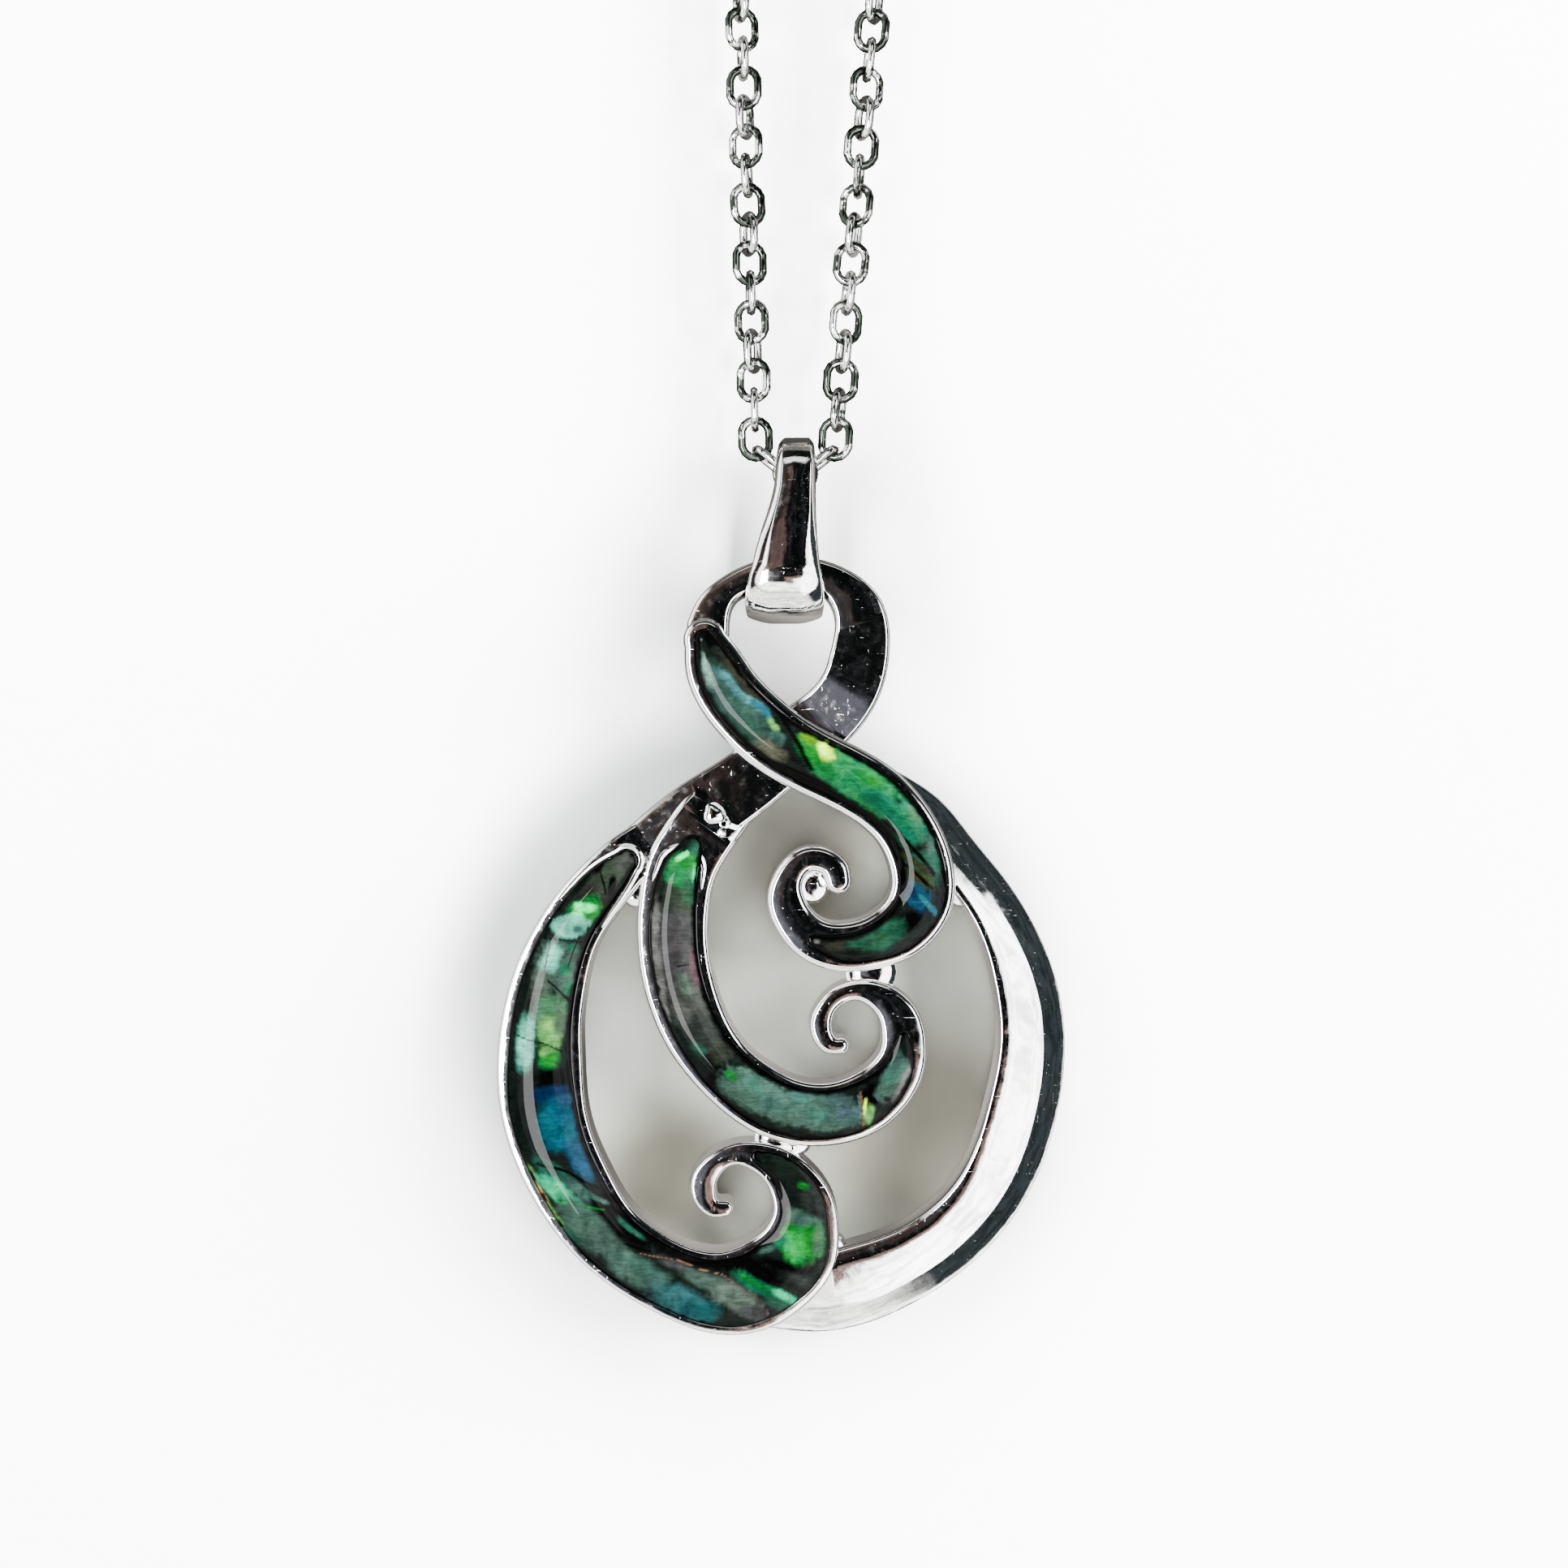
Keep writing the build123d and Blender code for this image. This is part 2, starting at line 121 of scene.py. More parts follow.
# Blots of colour in each inlay: tone, x, z, half length, half width, turn in degrees, softness
# and the thin dark and bright lines across them: tone, two ends, width
# Some blots are painted highlights: the pale gloss strips and the glints.
TWIST_PATCHES = (
    ("sea_teal", -0.168, 1.216, 0.176, 0.074, -48, 0.35),
    ("deep_teal", -0.111, 1.111, 0.085, 0.037, -45, 0.5),
    # A painted highlight: the pale strip along the twist inlay's left edge.
    ("pale_sea", -0.273, 1.330, 0.068, 0.023, -72, 0.5),
    ("olive", -0.131, 1.290, 0.142, 0.023, -50, 0.5),
    ("sky", -0.139, 1.253, 0.125, 0.017, -43, 0.4),
    ("sky_light", -0.074, 1.199, 0.051, 0.014, -42, 0.4),
    ("grey_brown", -0.048, 1.048, 0.062, 0.040, -40, 0.5),
    ("sea_teal", -0.017, 1.099, 0.031, 0.023, -40, 0.4),
    ("lime", -0.028, 1.145, 0.028, 0.014, -50, 0.5),
    ("black", -0.250, 1.449, 0.040, 0.037, -70, 0.4),
    ("emerald", 0.250, 0.955, 0.188, 0.077, -33, 0.25),
    ("leaf", 0.108, 1.060, 0.068, 0.051, -45, 0.3),
    ("leaf_light", 0.136, 1.054, 0.034, 0.054, 10, 0.5),
    # A painted highlight: a cream glint on the green.
    ("cream", 0.153, 1.051, 0.023, 0.043, 25, 0.5),
    ("yellow", 0.091, 1.097, 0.028, 0.020, -30, 0.6),
    ("jade", 0.330, 0.884, 0.085, 0.048, -38, 0.5),
    ("leaf", 0.295, 0.963, 0.062, 0.026, -35, 0.6),
    ("jade", 0.443, 0.804, 0.080, 0.068, -60, 0.4),
    ("moss", 0.463, 0.832, 0.040, 0.023, -60, 0.6),
    ("sea_teal", 0.517, 0.722, 0.057, 0.023, -85, 0.5),
    ("pine", 0.486, 0.642, 0.068, 0.068, 0, 0.3),
    ("olive_light", 0.469, 0.659, 0.085, 0.014, -35, 0.4),
    ("pine_light", 0.477, 0.614, 0.068, 0.023, -30, 0.5),
    ("royal", 0.466, 0.551, 0.057, 0.048, -40, 0.35),
    ("violet", 0.455, 0.562, 0.034, 0.017, -45, 0.6),
    ("sky_light", 0.506, 0.520, 0.057, 0.011, -55, 0.4),
    ("black", 0.438, 0.455, 0.057, 0.034, 30, 0.4),
    ("pine", 0.358, 0.409, 0.080, 0.043, 25, 0.4),
    ("jade_dark", 0.318, 0.392, 0.062, 0.026, 12, 0.5),
    ("olive", 0.205, 0.369, 0.068, 0.020, 5, 0.5),
    ("pine", 0.256, 0.378, 0.040, 0.017, 10, 0.6),
    # A painted highlight: the small glint at the twist inlay's narrow end.
    ("pale_slate", 0.114, 0.398, 0.016, 0.016, 0, 0.4),
)
TWIST_VEINS = (
    ("black", 0.003, 1.182, 0.051, 1.082, 0.0128),
    ("black", 0.051, 1.082, 0.099, 0.989, 0.0156),
    ("black", 0.352, 0.807, 0.432, 0.739, 0.0085),
    ("black", 0.432, 0.739, 0.534, 0.625, 0.0099),
    ("black", 0.398, 0.682, 0.528, 0.580, 0.0085),
    ("black", -0.051, 1.017, 0.102, 0.949, 0.0227),
    ("black", 0.102, 0.949, 0.244, 0.864, 0.0227),
    ("black", 0.341, 0.716, 0.403, 0.682, 0.0142),
)
MIDDLE_PATCHES = (
    ("pine", -0.278, 0.727, 0.068, 0.040, 60, 0.4),
    ("grey_green", -0.347, 0.543, 0.097, 0.074, 80, 0.4),
    ("emerald", -0.352, 0.636, 0.068, 0.057, 70, 0.35),
    ("leaf", -0.335, 0.665, 0.040, 0.028, 60, 0.5),
    ("mint", -0.301, 0.622, 0.034, 0.014, 85, 0.5),
    ("mint", -0.347, 0.690, 0.026, 0.011, 30, 0.5),
    ("jade_dark", -0.324, 0.557, 0.057, 0.034, 80, 0.6),
    ("mauve", -0.364, 0.352, 0.148, 0.080, -85, 0.3),
    ("mauve_light", -0.375, 0.386, 0.074, 0.040, -85, 0.6),
    ("plum", -0.301, 0.273, 0.085, 0.017, -80, 0.6),
    ("ash", -0.324, 0.173, 0.102, 0.068, -68, 0.4),
    ("ash_light", -0.338, 0.230, 0.057, 0.023, -70, 0.6),
    ("ash_dark", -0.278, 0.074, 0.074, 0.057, -60, 0.5),
    # The two pale grey strips below are painted highlights along the middle inlay's left edge.
    ("pale_slate", -0.446, 0.386, 0.170, 0.020, -88, 0.5),
    ("pale_slate", -0.415, 0.202, 0.097, 0.014, -75, 0.5),
    ("olive_dark", -0.222, 0.000, 0.045, 0.040, -50, 0.5),
    ("pine", -0.295, 0.011, 0.034, 0.020, -50, 0.6),
    ("black", -0.210, -0.085, 0.068, 0.040, 35, 0.35),
    ("sage", -0.082, -0.148, 0.153, 0.065, -28, 0.2),
    ("sage", 0.131, -0.210, 0.148, 0.062, -8, 0.2),
    ("mint_pale", -0.097, -0.111, 0.040, 0.026, -30, 0.7),
    ("sea_teal", -0.026, -0.188, 0.062, 0.034, -25, 0.7),
    ("mint_pale", 0.074, -0.159, 0.045, 0.023, -15, 0.7),
    ("mint_pale", 0.125, -0.222, 0.040, 0.023, -10, 0.7),
    ("leaf_light", -0.182, -0.085, 0.026, 0.017, -40, 0.7),
    ("slate", 0.205, -0.176, 0.057, 0.028, -15, 0.7),
    ("periwinkle", 0.233, -0.216, 0.051, 0.026, -10, 0.6),
    ("mint_pale", 0.250, -0.239, 0.023, 0.011, 0, 0.7),
    ("black", 0.324, -0.153, 0.045, 0.045, 60, 0.4),
    ("lime", 0.304, -0.222, 0.037, 0.017, 70, 0.4),
    # A painted highlight: a thin cream glint.
    ("cream", 0.290, -0.199, 0.028, 0.007, 80, 0.5),
    ("sage_dark", 0.381, -0.097, 0.091, 0.037, 62, 0.35),
    ("mint_pale", 0.381, -0.068, 0.045, 0.020, 62, 0.7),
    ("sea_teal", 0.398, -0.028, 0.045, 0.023, 75, 0.6),
    ("black", 0.375, -0.162, 0.014, 0.011, 0, 0.4),
    # A painted highlight: a thin pale grey gloss strip.
    ("pale_slate", 0.426, -0.097, 0.074, 0.011, 66, 0.6),
)
MIDDLE_VEINS = (
    ("black", -0.372, 0.301, -0.324, 0.312, 0.0034),
    ("orange", 0.273, -0.142, 0.284, -0.261, 0.0051),
    ("periwinkle", 0.264, -0.153, 0.273, -0.256, 0.0040),
    ("black", 0.295, -0.142, 0.341, -0.188, 0.0114),
)
OUTER_PATCHES = (
    ("grey_green", -0.602, 0.636, 0.114, 0.051, 55, 0.3),
    ("ash", -0.557, 0.670, 0.040, 0.026, 50, 0.6),
    ("black", -0.642, 0.648, 0.037, 0.023, 60, 0.5),
    ("black", -0.597, 0.580, 0.040, 0.014, 75, 0.4),
    ("olive", -0.676, 0.562, 0.040, 0.020, 40, 0.5),
    ("leaf", -0.688, 0.494, 0.062, 0.048, 30, 0.3),
    ("mint", -0.688, 0.509, 0.040, 0.017, -10, 0.5),
    ("mint", -0.710, 0.483, 0.023, 0.017, 0, 0.5),
    ("aqua_pale", -0.744, 0.443, 0.071, 0.040, 20, 0.3),
    ("mint_pale", -0.710, 0.438, 0.028, 0.020, 0, 0.7),
    ("grey_sea", -0.778, 0.301, 0.102, 0.091, 75, 0.25),
    ("aqua_pale", -0.807, 0.330, 0.051, 0.034, 70, 0.7),
    ("jade", -0.733, 0.369, 0.026, 0.014, 20, 0.6),
    ("jade", -0.750, 0.295, 0.028, 0.023, 70, 0.6),
    ("jade", -0.744, 0.227, 0.034, 0.020, 70, 0.6),
    ("ash_light", -0.841, 0.233, 0.057, 0.034, 75, 0.6),
    ("black", -0.784, 0.170, 0.051, 0.014, -50, 0.4),
    ("black", -0.756, 0.125, 0.023, 0.014, -60, 0.4),
    ("moss", -0.818, 0.125, 0.080, 0.062, 80, 0.35),
    ("lime", -0.812, 0.068, 0.062, 0.040, 85, 0.5),
    ("lime_dark", -0.778, 0.102, 0.045, 0.020, 80, 0.6),
    ("leaf", -0.818, -0.023, 0.040, 0.037, 70, 0.4),
    ("lime", -0.830, 0.000, 0.028, 0.017, 30, 0.6),
    # A painted highlight: this pale aqua strip along the outer inlay's left edge is a gloss laid into the colour.
    ("aqua_pale", -0.898, 0.031, 0.097, 0.034, 85, 0.5),
    ("black", -0.778, -0.097, 0.085, 0.051, 10, 0.35),
    ("navy", -0.807, -0.148, 0.074, 0.034, 5, 0.4),
    ("cerulean", -0.778, -0.250, 0.097, 0.074, -78, 0.3),
    ("royal", -0.756, -0.170, 0.040, 0.023, 10, 0.6),
    ("cerulean_light", -0.767, -0.239, 0.051, 0.026, -75, 0.6),
    ("royal", -0.716, -0.364, 0.080, 0.037, -65, 0.4),
    ("navy", -0.699, -0.301, 0.068, 0.014, -68, 0.6),
    ("pine", -0.807, -0.409, 0.085, 0.023, -40, 0.4),
    ("royal", -0.688, -0.420, 0.045, 0.020, -60, 0.4),
    ("sea_teal", -0.705, -0.483, 0.074, 0.020, -35, 0.4),
    ("aqua_green", -0.773, -0.494, 0.108, 0.031, -42, 0.4),
    ("peach", -0.852, -0.483, 0.068, 0.014, -62, 0.5),
    ("lime", -0.818, -0.551, 0.080, 0.017, -60, 0.5),
    ("lime", -0.795, -0.585, 0.045, 0.018, -60, 0.6),
    ("sage", -0.688, -0.602, 0.131, 0.062, -48, 0.35),
    ("grey_sea", -0.614, -0.670, 0.085, 0.043, -42, 0.5),
    ("pine", -0.744, -0.642, 0.045, 0.023, -50, 0.6),
    ("sage_dark", -0.534, -0.756, 0.097, 0.051, -36, 0.4),
    ("sea_teal", -0.466, -0.778, 0.085, 0.045, -32, 0.5),
    ("peacock", -0.347, -0.881, 0.125, 0.062, -22, 0.4),
    ("peacock_deep", -0.290, -0.898, 0.074, 0.037, -12, 0.5),
    ("grey_sea", -0.273, -0.795, 0.097, 0.028, -22, 0.5),
    ("ash_light", -0.159, -0.864, 0.097, 0.045, -30, 0.45),
    ("mauve", -0.381, -0.739, 0.068, 0.017, -20, 0.7),
    ("mauve", -0.102, -0.915, 0.057, 0.026, -30, 0.6),
    ("black", -0.551, -0.580, 0.142, 0.062, -42, 0.3),
    ("pine", -0.528, -0.614, 0.068, 0.011, -35, 0.5),
    ("black", -0.324, -0.688, 0.176, 0.057, -18, 0.3),
    ("black", -0.119, -0.756, 0.131, 0.045, -25, 0.35),
    ("sea_teal", -0.648, -0.511, 0.045, 0.009, -30, 0.5),
    ("jade", -0.068, -0.830, 0.119, 0.026, -28, 0.35),
    ("leaf", -0.097, -0.807, 0.068, 0.011, -28, 0.5),
    ("aqua_green", 0.011, -0.858, 0.051, 0.017, -25, 0.5),
    ("pine", -0.006, -0.886, 0.068, 0.023, -20, 0.5),
    ("ash_dark", 0.060, -0.784, 0.057, 0.026, -35, 0.6),
    ("black", 0.006, -0.750, 0.114, 0.017, -18, 0.5),
    ("leaf", 0.057, -0.653, 0.094, 0.080, -60, 0.2),
    ("vivid", 0.045, -0.670, 0.062, 0.045, -70, 0.5),
    ("sage", 0.062, -0.580, 0.074, 0.026, -15, 0.5),
    ("jade", -0.006, -0.659, 0.034, 0.026, 40, 0.6),
    ("moss", 0.125, -0.665, 0.023, 0.057, 0, 0.6),
    ("sea_teal", -0.062, -0.688, 0.034, 0.014, 10, 0.5),
    ("leaf", 0.074, -0.472, 0.028, 0.017, -20, 0.4),
    ("ash_dark", 0.102, -0.523, 0.057, 0.040, -70, 0.7),
    ("lime", -0.868, -0.440, 0.050, 0.016, -66, 0.6),
)
OUTER_VEINS = (
    ("black", -0.841, 0.389, -0.705, 0.392, 0.0045),
    ("black", -0.648, 0.693, -0.619, 0.551, 0.0063),
    ("black", -0.818, 0.250, -0.767, 0.199, 0.0063),
    ("black", -0.767, 0.199, -0.733, 0.159, 0.0085),
    ("black", -0.929, 0.062, -0.852, 0.037, 0.0040),
    ("black", -0.852, 0.037, -0.773, 0.003, 0.0051),
    ("black", -0.818, 0.386, -0.830, 0.273, 0.0034),
    ("black", -0.716, 0.386, -0.739, 0.307, 0.0045),
    ("black", -0.852, -0.381, -0.750, -0.426, 0.0074),
    ("black", -0.750, -0.426, -0.648, -0.472, 0.0063),
    ("leaf", -0.778, -0.517, -0.631, -0.551, 0.0045),
    ("black", -0.545, -0.670, -0.466, -0.693, 0.0085),
    ("orange", -0.511, -0.699, -0.358, -0.730, 0.0020),
    ("orange", -0.358, -0.730, -0.216, -0.778, 0.0024),
    ("plum", -0.216, -0.778, -0.119, -0.847, 0.0034),
    ("plum", -0.119, -0.847, -0.040, -0.926, 0.0034),
    ("black", -0.165, -0.750, 0.074, -0.835, 0.0071),
    ("black", -0.068, -0.580, -0.023, -0.636, 0.0199),
)

# Tones of the shell as shares of the light that they send back, with some painted highlight tones for the gloss
# strips and glints
TONES = {
    "black": (0.0004, 0.0004, 0.0004), "ground": (0.0018, 0.0030, 0.0024),
    "sea_teal": (0.0095, 0.0240, 0.0191), "deep_teal": (0.0070, 0.0208, 0.0150),
    # The first tone on the next line is a painted highlight: the pale sea-green of a gloss strip.
    "pale_sea": (0.0759, 0.1466, 0.1200), "olive": (0.0060, 0.0064, 0.0042),
    "olive_dark": (0.0074, 0.0092, 0.0064), "olive_light": (0.0061, 0.0082, 0.0034),
    "sky": (0.0141, 0.0494, 0.0512), "sky_light": (0.0051, 0.0365, 0.0503),
    "grey_brown": (0.0316, 0.0335, 0.0213), "lime": (0.0350, 0.1050, 0.0240),
    "lime_dark": (0.0141, 0.0283, 0.0148), "emerald": (0.0028, 0.0623, 0.0173),
    "leaf": (0.0004, 0.0480, 0.0070), "leaf_light": (0.0004, 0.0500, 0.0070),
    # The first tone on the next line is a painted highlight: the cream of the glints.
    "cream": (0.2503, 0.4931, 0.0027), "yellow": (0.0215, 0.0663, 0.0006),
    "jade": (0.0020, 0.0343, 0.0169), "jade_dark": (0.0055, 0.0234, 0.0116),
    "moss": (0.0134, 0.0403, 0.0203), "pine": (0.0034, 0.0219, 0.0135),
    "pine_light": (0.0085, 0.0088, 0.0017), "royal": (0.0030, 0.0142, 0.0294),
    "violet": (0.0017, 0.0067, 0.0222), "grey_green": (0.0085, 0.0133, 0.0084),
    "mint": (0.0004, 0.4800, 0.1200), "mint_pale": (0.0099, 0.0346, 0.0263),
    "mauve": (0.0140, 0.0145, 0.0148), "mauve_light": (0.0133, 0.0124, 0.0127),
    "plum": (0.0308, 0.0166, 0.0187), "ash": (0.0171, 0.0189, 0.0165),
    "ash_light": (0.0238, 0.0345, 0.0272), "ash_dark": (0.0063, 0.0078, 0.0068),
    # The first tone on the next line is a painted highlight: the pale grey of the gloss strips and the glint.
    "pale_slate": (0.0446, 0.0446, 0.0425), "slate": (0.0100, 0.0209, 0.0203),
    "periwinkle": (0.0155, 0.0296, 0.0325), "sage": (0.0131, 0.0298, 0.0227),
    "sage_dark": (0.0143, 0.0323, 0.0256), "aqua_pale": (0.0400, 0.1970, 0.1399),
    "aqua_green": (0.0007, 0.1853, 0.0895), "grey_sea": (0.0125, 0.0226, 0.0182),
    "navy": (0.0006, 0.0041, 0.0145), "cerulean": (0.0004, 0.0219, 0.0317),
    "cerulean_light": (0.0004, 0.0166, 0.0273), "peach": (0.4424, 0.2002, 0.0445),
    "peacock": (0.0072, 0.0301, 0.0316), "peacock_deep": (0.0005, 0.0210, 0.0226),
    "vivid": (0.0004, 0.1100, 0.0200), "orange": (0.0450, 0.0240, 0.0130),
}


class Side(Enum):
    """Which way a link of the chain stands."""

    UPRIGHT = "open to the front"
    TURNED = "edge on to the front"

    @classmethod
    def of(cls, number: int) -> "Side":
        """The side of the link with this number from the bail's link on."""
        return cls.TURNED if number % 2 else cls.UPRIGHT


def spline(knots: np.ndarray, values: np.ndarray, at: np.ndarray) -> np.ndarray:
    """Natural cubic spline through values of any number of columns.

    Args:
        knots: Increasing positions, one for each row of values.
        values: The rows that the spline passes through.
        at: The positions wanted.

    Returns:
        One row for each wanted position.
    """
    count = len(knots)
    gaps = np.diff(knots)
    slopes = np.diff(values, axis=0) / gaps[:, None]
    matrix = np.eye(count)
    right = np.zeros_like(values, dtype=float)
    for i in range(1, count - 1):
        matrix[i, i - 1], matrix[i, i], matrix[i, i + 1] = gaps[i - 1], 2 * (gaps[i - 1] + gaps[i]), gaps[i]
        right[i] = 6 * (slopes[i] - slopes[i - 1])
    bends = np.linalg.solve(matrix, right)
    cell = np.clip(np.searchsorted(knots, at) - 1, 0, count - 2)
    low, high = knots[cell + 1] - at, at - knots[cell]
    gap = gaps[cell]
    low, high, gap = low[:, None], high[:, None], gap[:, None]
    return (
        (bends[cell] * low**3 + bends[cell + 1] * high**3) / (6 * gap)
        + (values[cell] / gap - bends[cell] * gap / 6) * low
        + (values[cell + 1] / gap - bends[cell + 1] * gap / 6) * high
    )


def smooth(low: float, high: float, value: np.ndarray) -> np.ndarray:
    """Smooth step from 0 at low to 1 at high."""
    share = np.clip((value - low) / (high - low), 0, 1)
    return share * share * (3 - 2 * share)


def linked(name: str, data: bpy.types.ID) -> bpy.types.Object:
    """Put an object with this data into the scene.

    Args:
        name: Name of the object.
        data: Its mesh, curve, light or camera.

    Returns:
        The object, at the origin.
    """
    made = bpy.data.objects.new(name, data)
    bpy.context.scene.collection.objects.link(made)
    return made


def new_piece(
    name: str, points: np.ndarray, faces: Sequence[Sequence[int]], sharp: float | None = 38.0
) -> bpy.types.Object:
    """Make a welded mesh object with its normals outward.

    Args:
        name: Name of the piece.
        points: Corners in millimetres.
        faces: Corner numbers of each face.
        sharp: Edges above this angle in degrees stay sharp, or None for none.

    Returns:
        The object, in metres, at the origin.
    """
    mesh = bpy.data.meshes.new(name)
    mesh.from_pydata([tuple(p) for p in np.asarray(points, float) * MM], [], [tuple(f) for f in faces])
    shape = bmesh.new()
    shape.from_mesh(mesh)
    bmesh.ops.remove_doubles(shape, verts=shape.verts, dist=WELD)
    bmesh.ops.recalc_face_normals(shape, faces=shape.faces)
    shape.to_mesh(mesh)
    shape.free()
    mesh.shade_smooth()
    if sharp is not None:
        mesh.set_sharp_from_angle(angle=math.radians(sharp))
    return linked(name, mesh)


def between(first: int, second: int, size: int) -> list[tuple[int, ...]]:
    """Four-cornered faces between two closed rings of corners.

    Args:
        first, second: Number of the first corner of each ring.
        size: Corners in a ring.

    Returns:
        One face for each side of the rings.
    """
    return [(first + i, first + (i + 1) % size, second + (i + 1) % size, second + i) for i in range(size)]


def applied(piece: bpy.types.Object) -> bpy.types.Object:
    """Replace a piece's mesh by what its modifiers make of it, and drop the modifiers.

    Args:
        piece: A mesh object with live modifiers.

    Returns:
        The same object with a plain mesh.
    """
    bpy.context.view_layer.update()
    graph = bpy.context.evaluated_depsgraph_get()
    made = bpy.data.meshes.new_from_object(
        piece.evaluated_get(graph), preserve_all_data_layers=True, depsgraph=graph
    )
    piece.modifiers.clear()
    old, piece.data = piece.data, made
    made.name = piece.name
    bpy.data.meshes.remove(old)
    return piece


def carve(base: bpy.types.Object, tools: Sequence[bpy.types.Object], operation: str) -> bpy.types.Object:
    """Join tools to a solid or cut them from it, and remove the tools.

    Args:
        base: The closed mesh that is changed.
        tools: Closed meshes.
        operation: UNION or DIFFERENCE.

    Returns:
        The changed base.
    """
    for tool in tools:
        cut = base.modifiers.new(tool.name, "BOOLEAN")
        cut.operation, cut.solver, cut.object = operation, "MANIFOLD", tool
    applied(base)
    for tool in tools:
        mesh = tool.data
        bpy.data.objects.remove(tool)
        bpy.data.meshes.remove(mesh)
    return base


@dataclass
class Outline:
    """The two sides of a ribbon, sampled closely, with half-round ends.

    Attributes:
        rows: Sections of the ribbon as shares of the disc radius.
        column: The column that holds its width.
        step: Distance between samples in millimetres.
        cap: Samples in a quarter of each round end.
        most_inset: Largest share of the width that the insets of both sides may take.
    """

    rows: Sequence[tuple[float, ...]]
    column: int = WIDTH
    step: float = 0.22
    cap: int = 7
    most_inset: float = 0.86

    def __post_init__(self) -> None:
        """Run a spline along each side through the sections that have a width."""
        rows = np.array([row for row in self.rows if row[self.column] > 0], float)
        centre = rows[:, :2] * DISC_RADIUS
        run = np.vstack([centre[1] - centre[0], centre[2:] - centre[:-2], centre[-1] - centre[-2]])
        run /= np.linalg.norm(run, axis=1)[:, None]
        across = np.column_stack([-run[:, 1], run[:, 0]]) * rows[:, self.column, None] * DISC_RADIUS / 2
        knots = np.concatenate([[0], np.cumsum(np.linalg.norm(np.diff(centre, axis=0), axis=1))])
        at = np.linspace(0, knots[-1], max(int(knots[-1] / self.step), 8))
        place = np.array([DISC_X, DISC_Z])
        self.left = spline(knots, centre + across, at) + place
        self.right = spline(knots, centre - across, at) + place
        self.at = at / knots[-1]

    def chains(self, left_inset: float = 0.0, right_inset: float = 0.0) -> tuple[np.ndarray, np.ndarray]:
        """Left and right side from the start tip to the end tip, drawn in by the insets.

        Args:
            left_inset, right_inset: How far each side moves in, in millimetres.

        Returns:
            Two arrays of x and z with as many rows, whose first and last rows are the tips.
        """
        span = self.left - self.right
        width = np.linalg.norm(span, axis=1)
        unit = span / width[:, None]
        share = np.minimum(1, self.most_inset * width / max(left_inset + right_inset, 1e-6))[:, None]
        left, right = self.left - unit * left_inset * share, self.right + unit * right_inset * share
        parts_left, parts_right = [], []
        for end in (0, -1):
            middle, half = (left[end] + right[end]) / 2, (left[end] - right[end]) / 2
            run = np.array([half[1], -half[0]]) if end else np.array([-half[1], half[0]])
            turn = np.linspace(0, math.pi / 2, self.cap + 1)[1:, None]
            parts_left.append(middle + half * np.cos(turn) + run * np.sin(turn))
            parts_right.append(middle - half * np.cos(turn) + run * np.sin(turn))
        return (
            np.vstack([parts_left[0][::-1], left, parts_left[1]]),
            np.vstack([parts_right[0][::-1], right, parts_right[1]]),
        )

    def along(self) -> np.ndarray:
        """Share of the ribbon's length at each row of a chain."""
        return np.concatenate([np.zeros(self.cap), self.at, np.ones(self.cap)])


@dataclass(frozen=True)
class Level:
    """One ring of a ribbon's skin: how far each side is drawn in, and its height to the front."""

    left_inset: float
    left_height: float
    right_inset: float
    right_height: float
    left_lift: float = 0.0
    right_lift: float = 0.0


def even(inset: float, height: float, lift: float = 0.0) -> Level:
    """A level with the same inset and height on both sides."""
    return Level(inset, height, inset, height, lift, lift)


def skin(
    name: str,
    outline: Outline,
    levels: Sequence[Level],
    lift: Callable[[np.ndarray], np.ndarray] | None = None,
) -> bpy.types.Object:
    """Close a ribbon between rings stacked from its back to its front.

    Args:
        name: Name of the piece.
        outline: The ribbon's outline.
        levels: Rings from the back to the front.
        lift: Extra height by share of the ribbon's length, which each level takes a share of.

    Returns:
        A closed mesh object.
    """
    rings, raise_by = [], np.zeros(len(outline.along()))
    if lift is not None:
        raise_by = lift(outline.along())
    for level in levels:
        left, right = outline.chains(level.left_inset, level.right_inset)
        tip = (level.left_height + level.right_height) / 2
        blend = np.ones(len(left))
        quarter = np.sin(np.linspace(0, 1, outline.cap + 1)[:-1] * math.pi / 2)
        blend[: outline.cap], blend[-outline.cap :] = quarter, quarter[::-1]
        left_height = tip + (level.left_height - tip) * blend + raise_by * level.left_lift
        right_height = tip + (level.right_height - tip) * blend + raise_by * level.right_lift
        ring = np.vstack([left, right[1:-1][::-1]])
        height = np.concatenate([left_height, right_height[1:-1][::-1]])
        rings.append(np.column_stack([ring[:, 0], -height, ring[:, 1]]))
    size, count = len(rings[0]), len(left)
    faces = []
    for k in range(len(rings) - 1):
        faces += between(k * size, (k + 1) * size, size)
    for base in (0, (len(rings) - 1) * size):
        for k in range(count - 1):
            quad = [base + k, base + k + 1, base + (size - k - 1) % size, base + (size - k) % size]
            faces.append(tuple(dict.fromkeys(quad)))
    return new_piece(name, np.vstack(rings), faces)


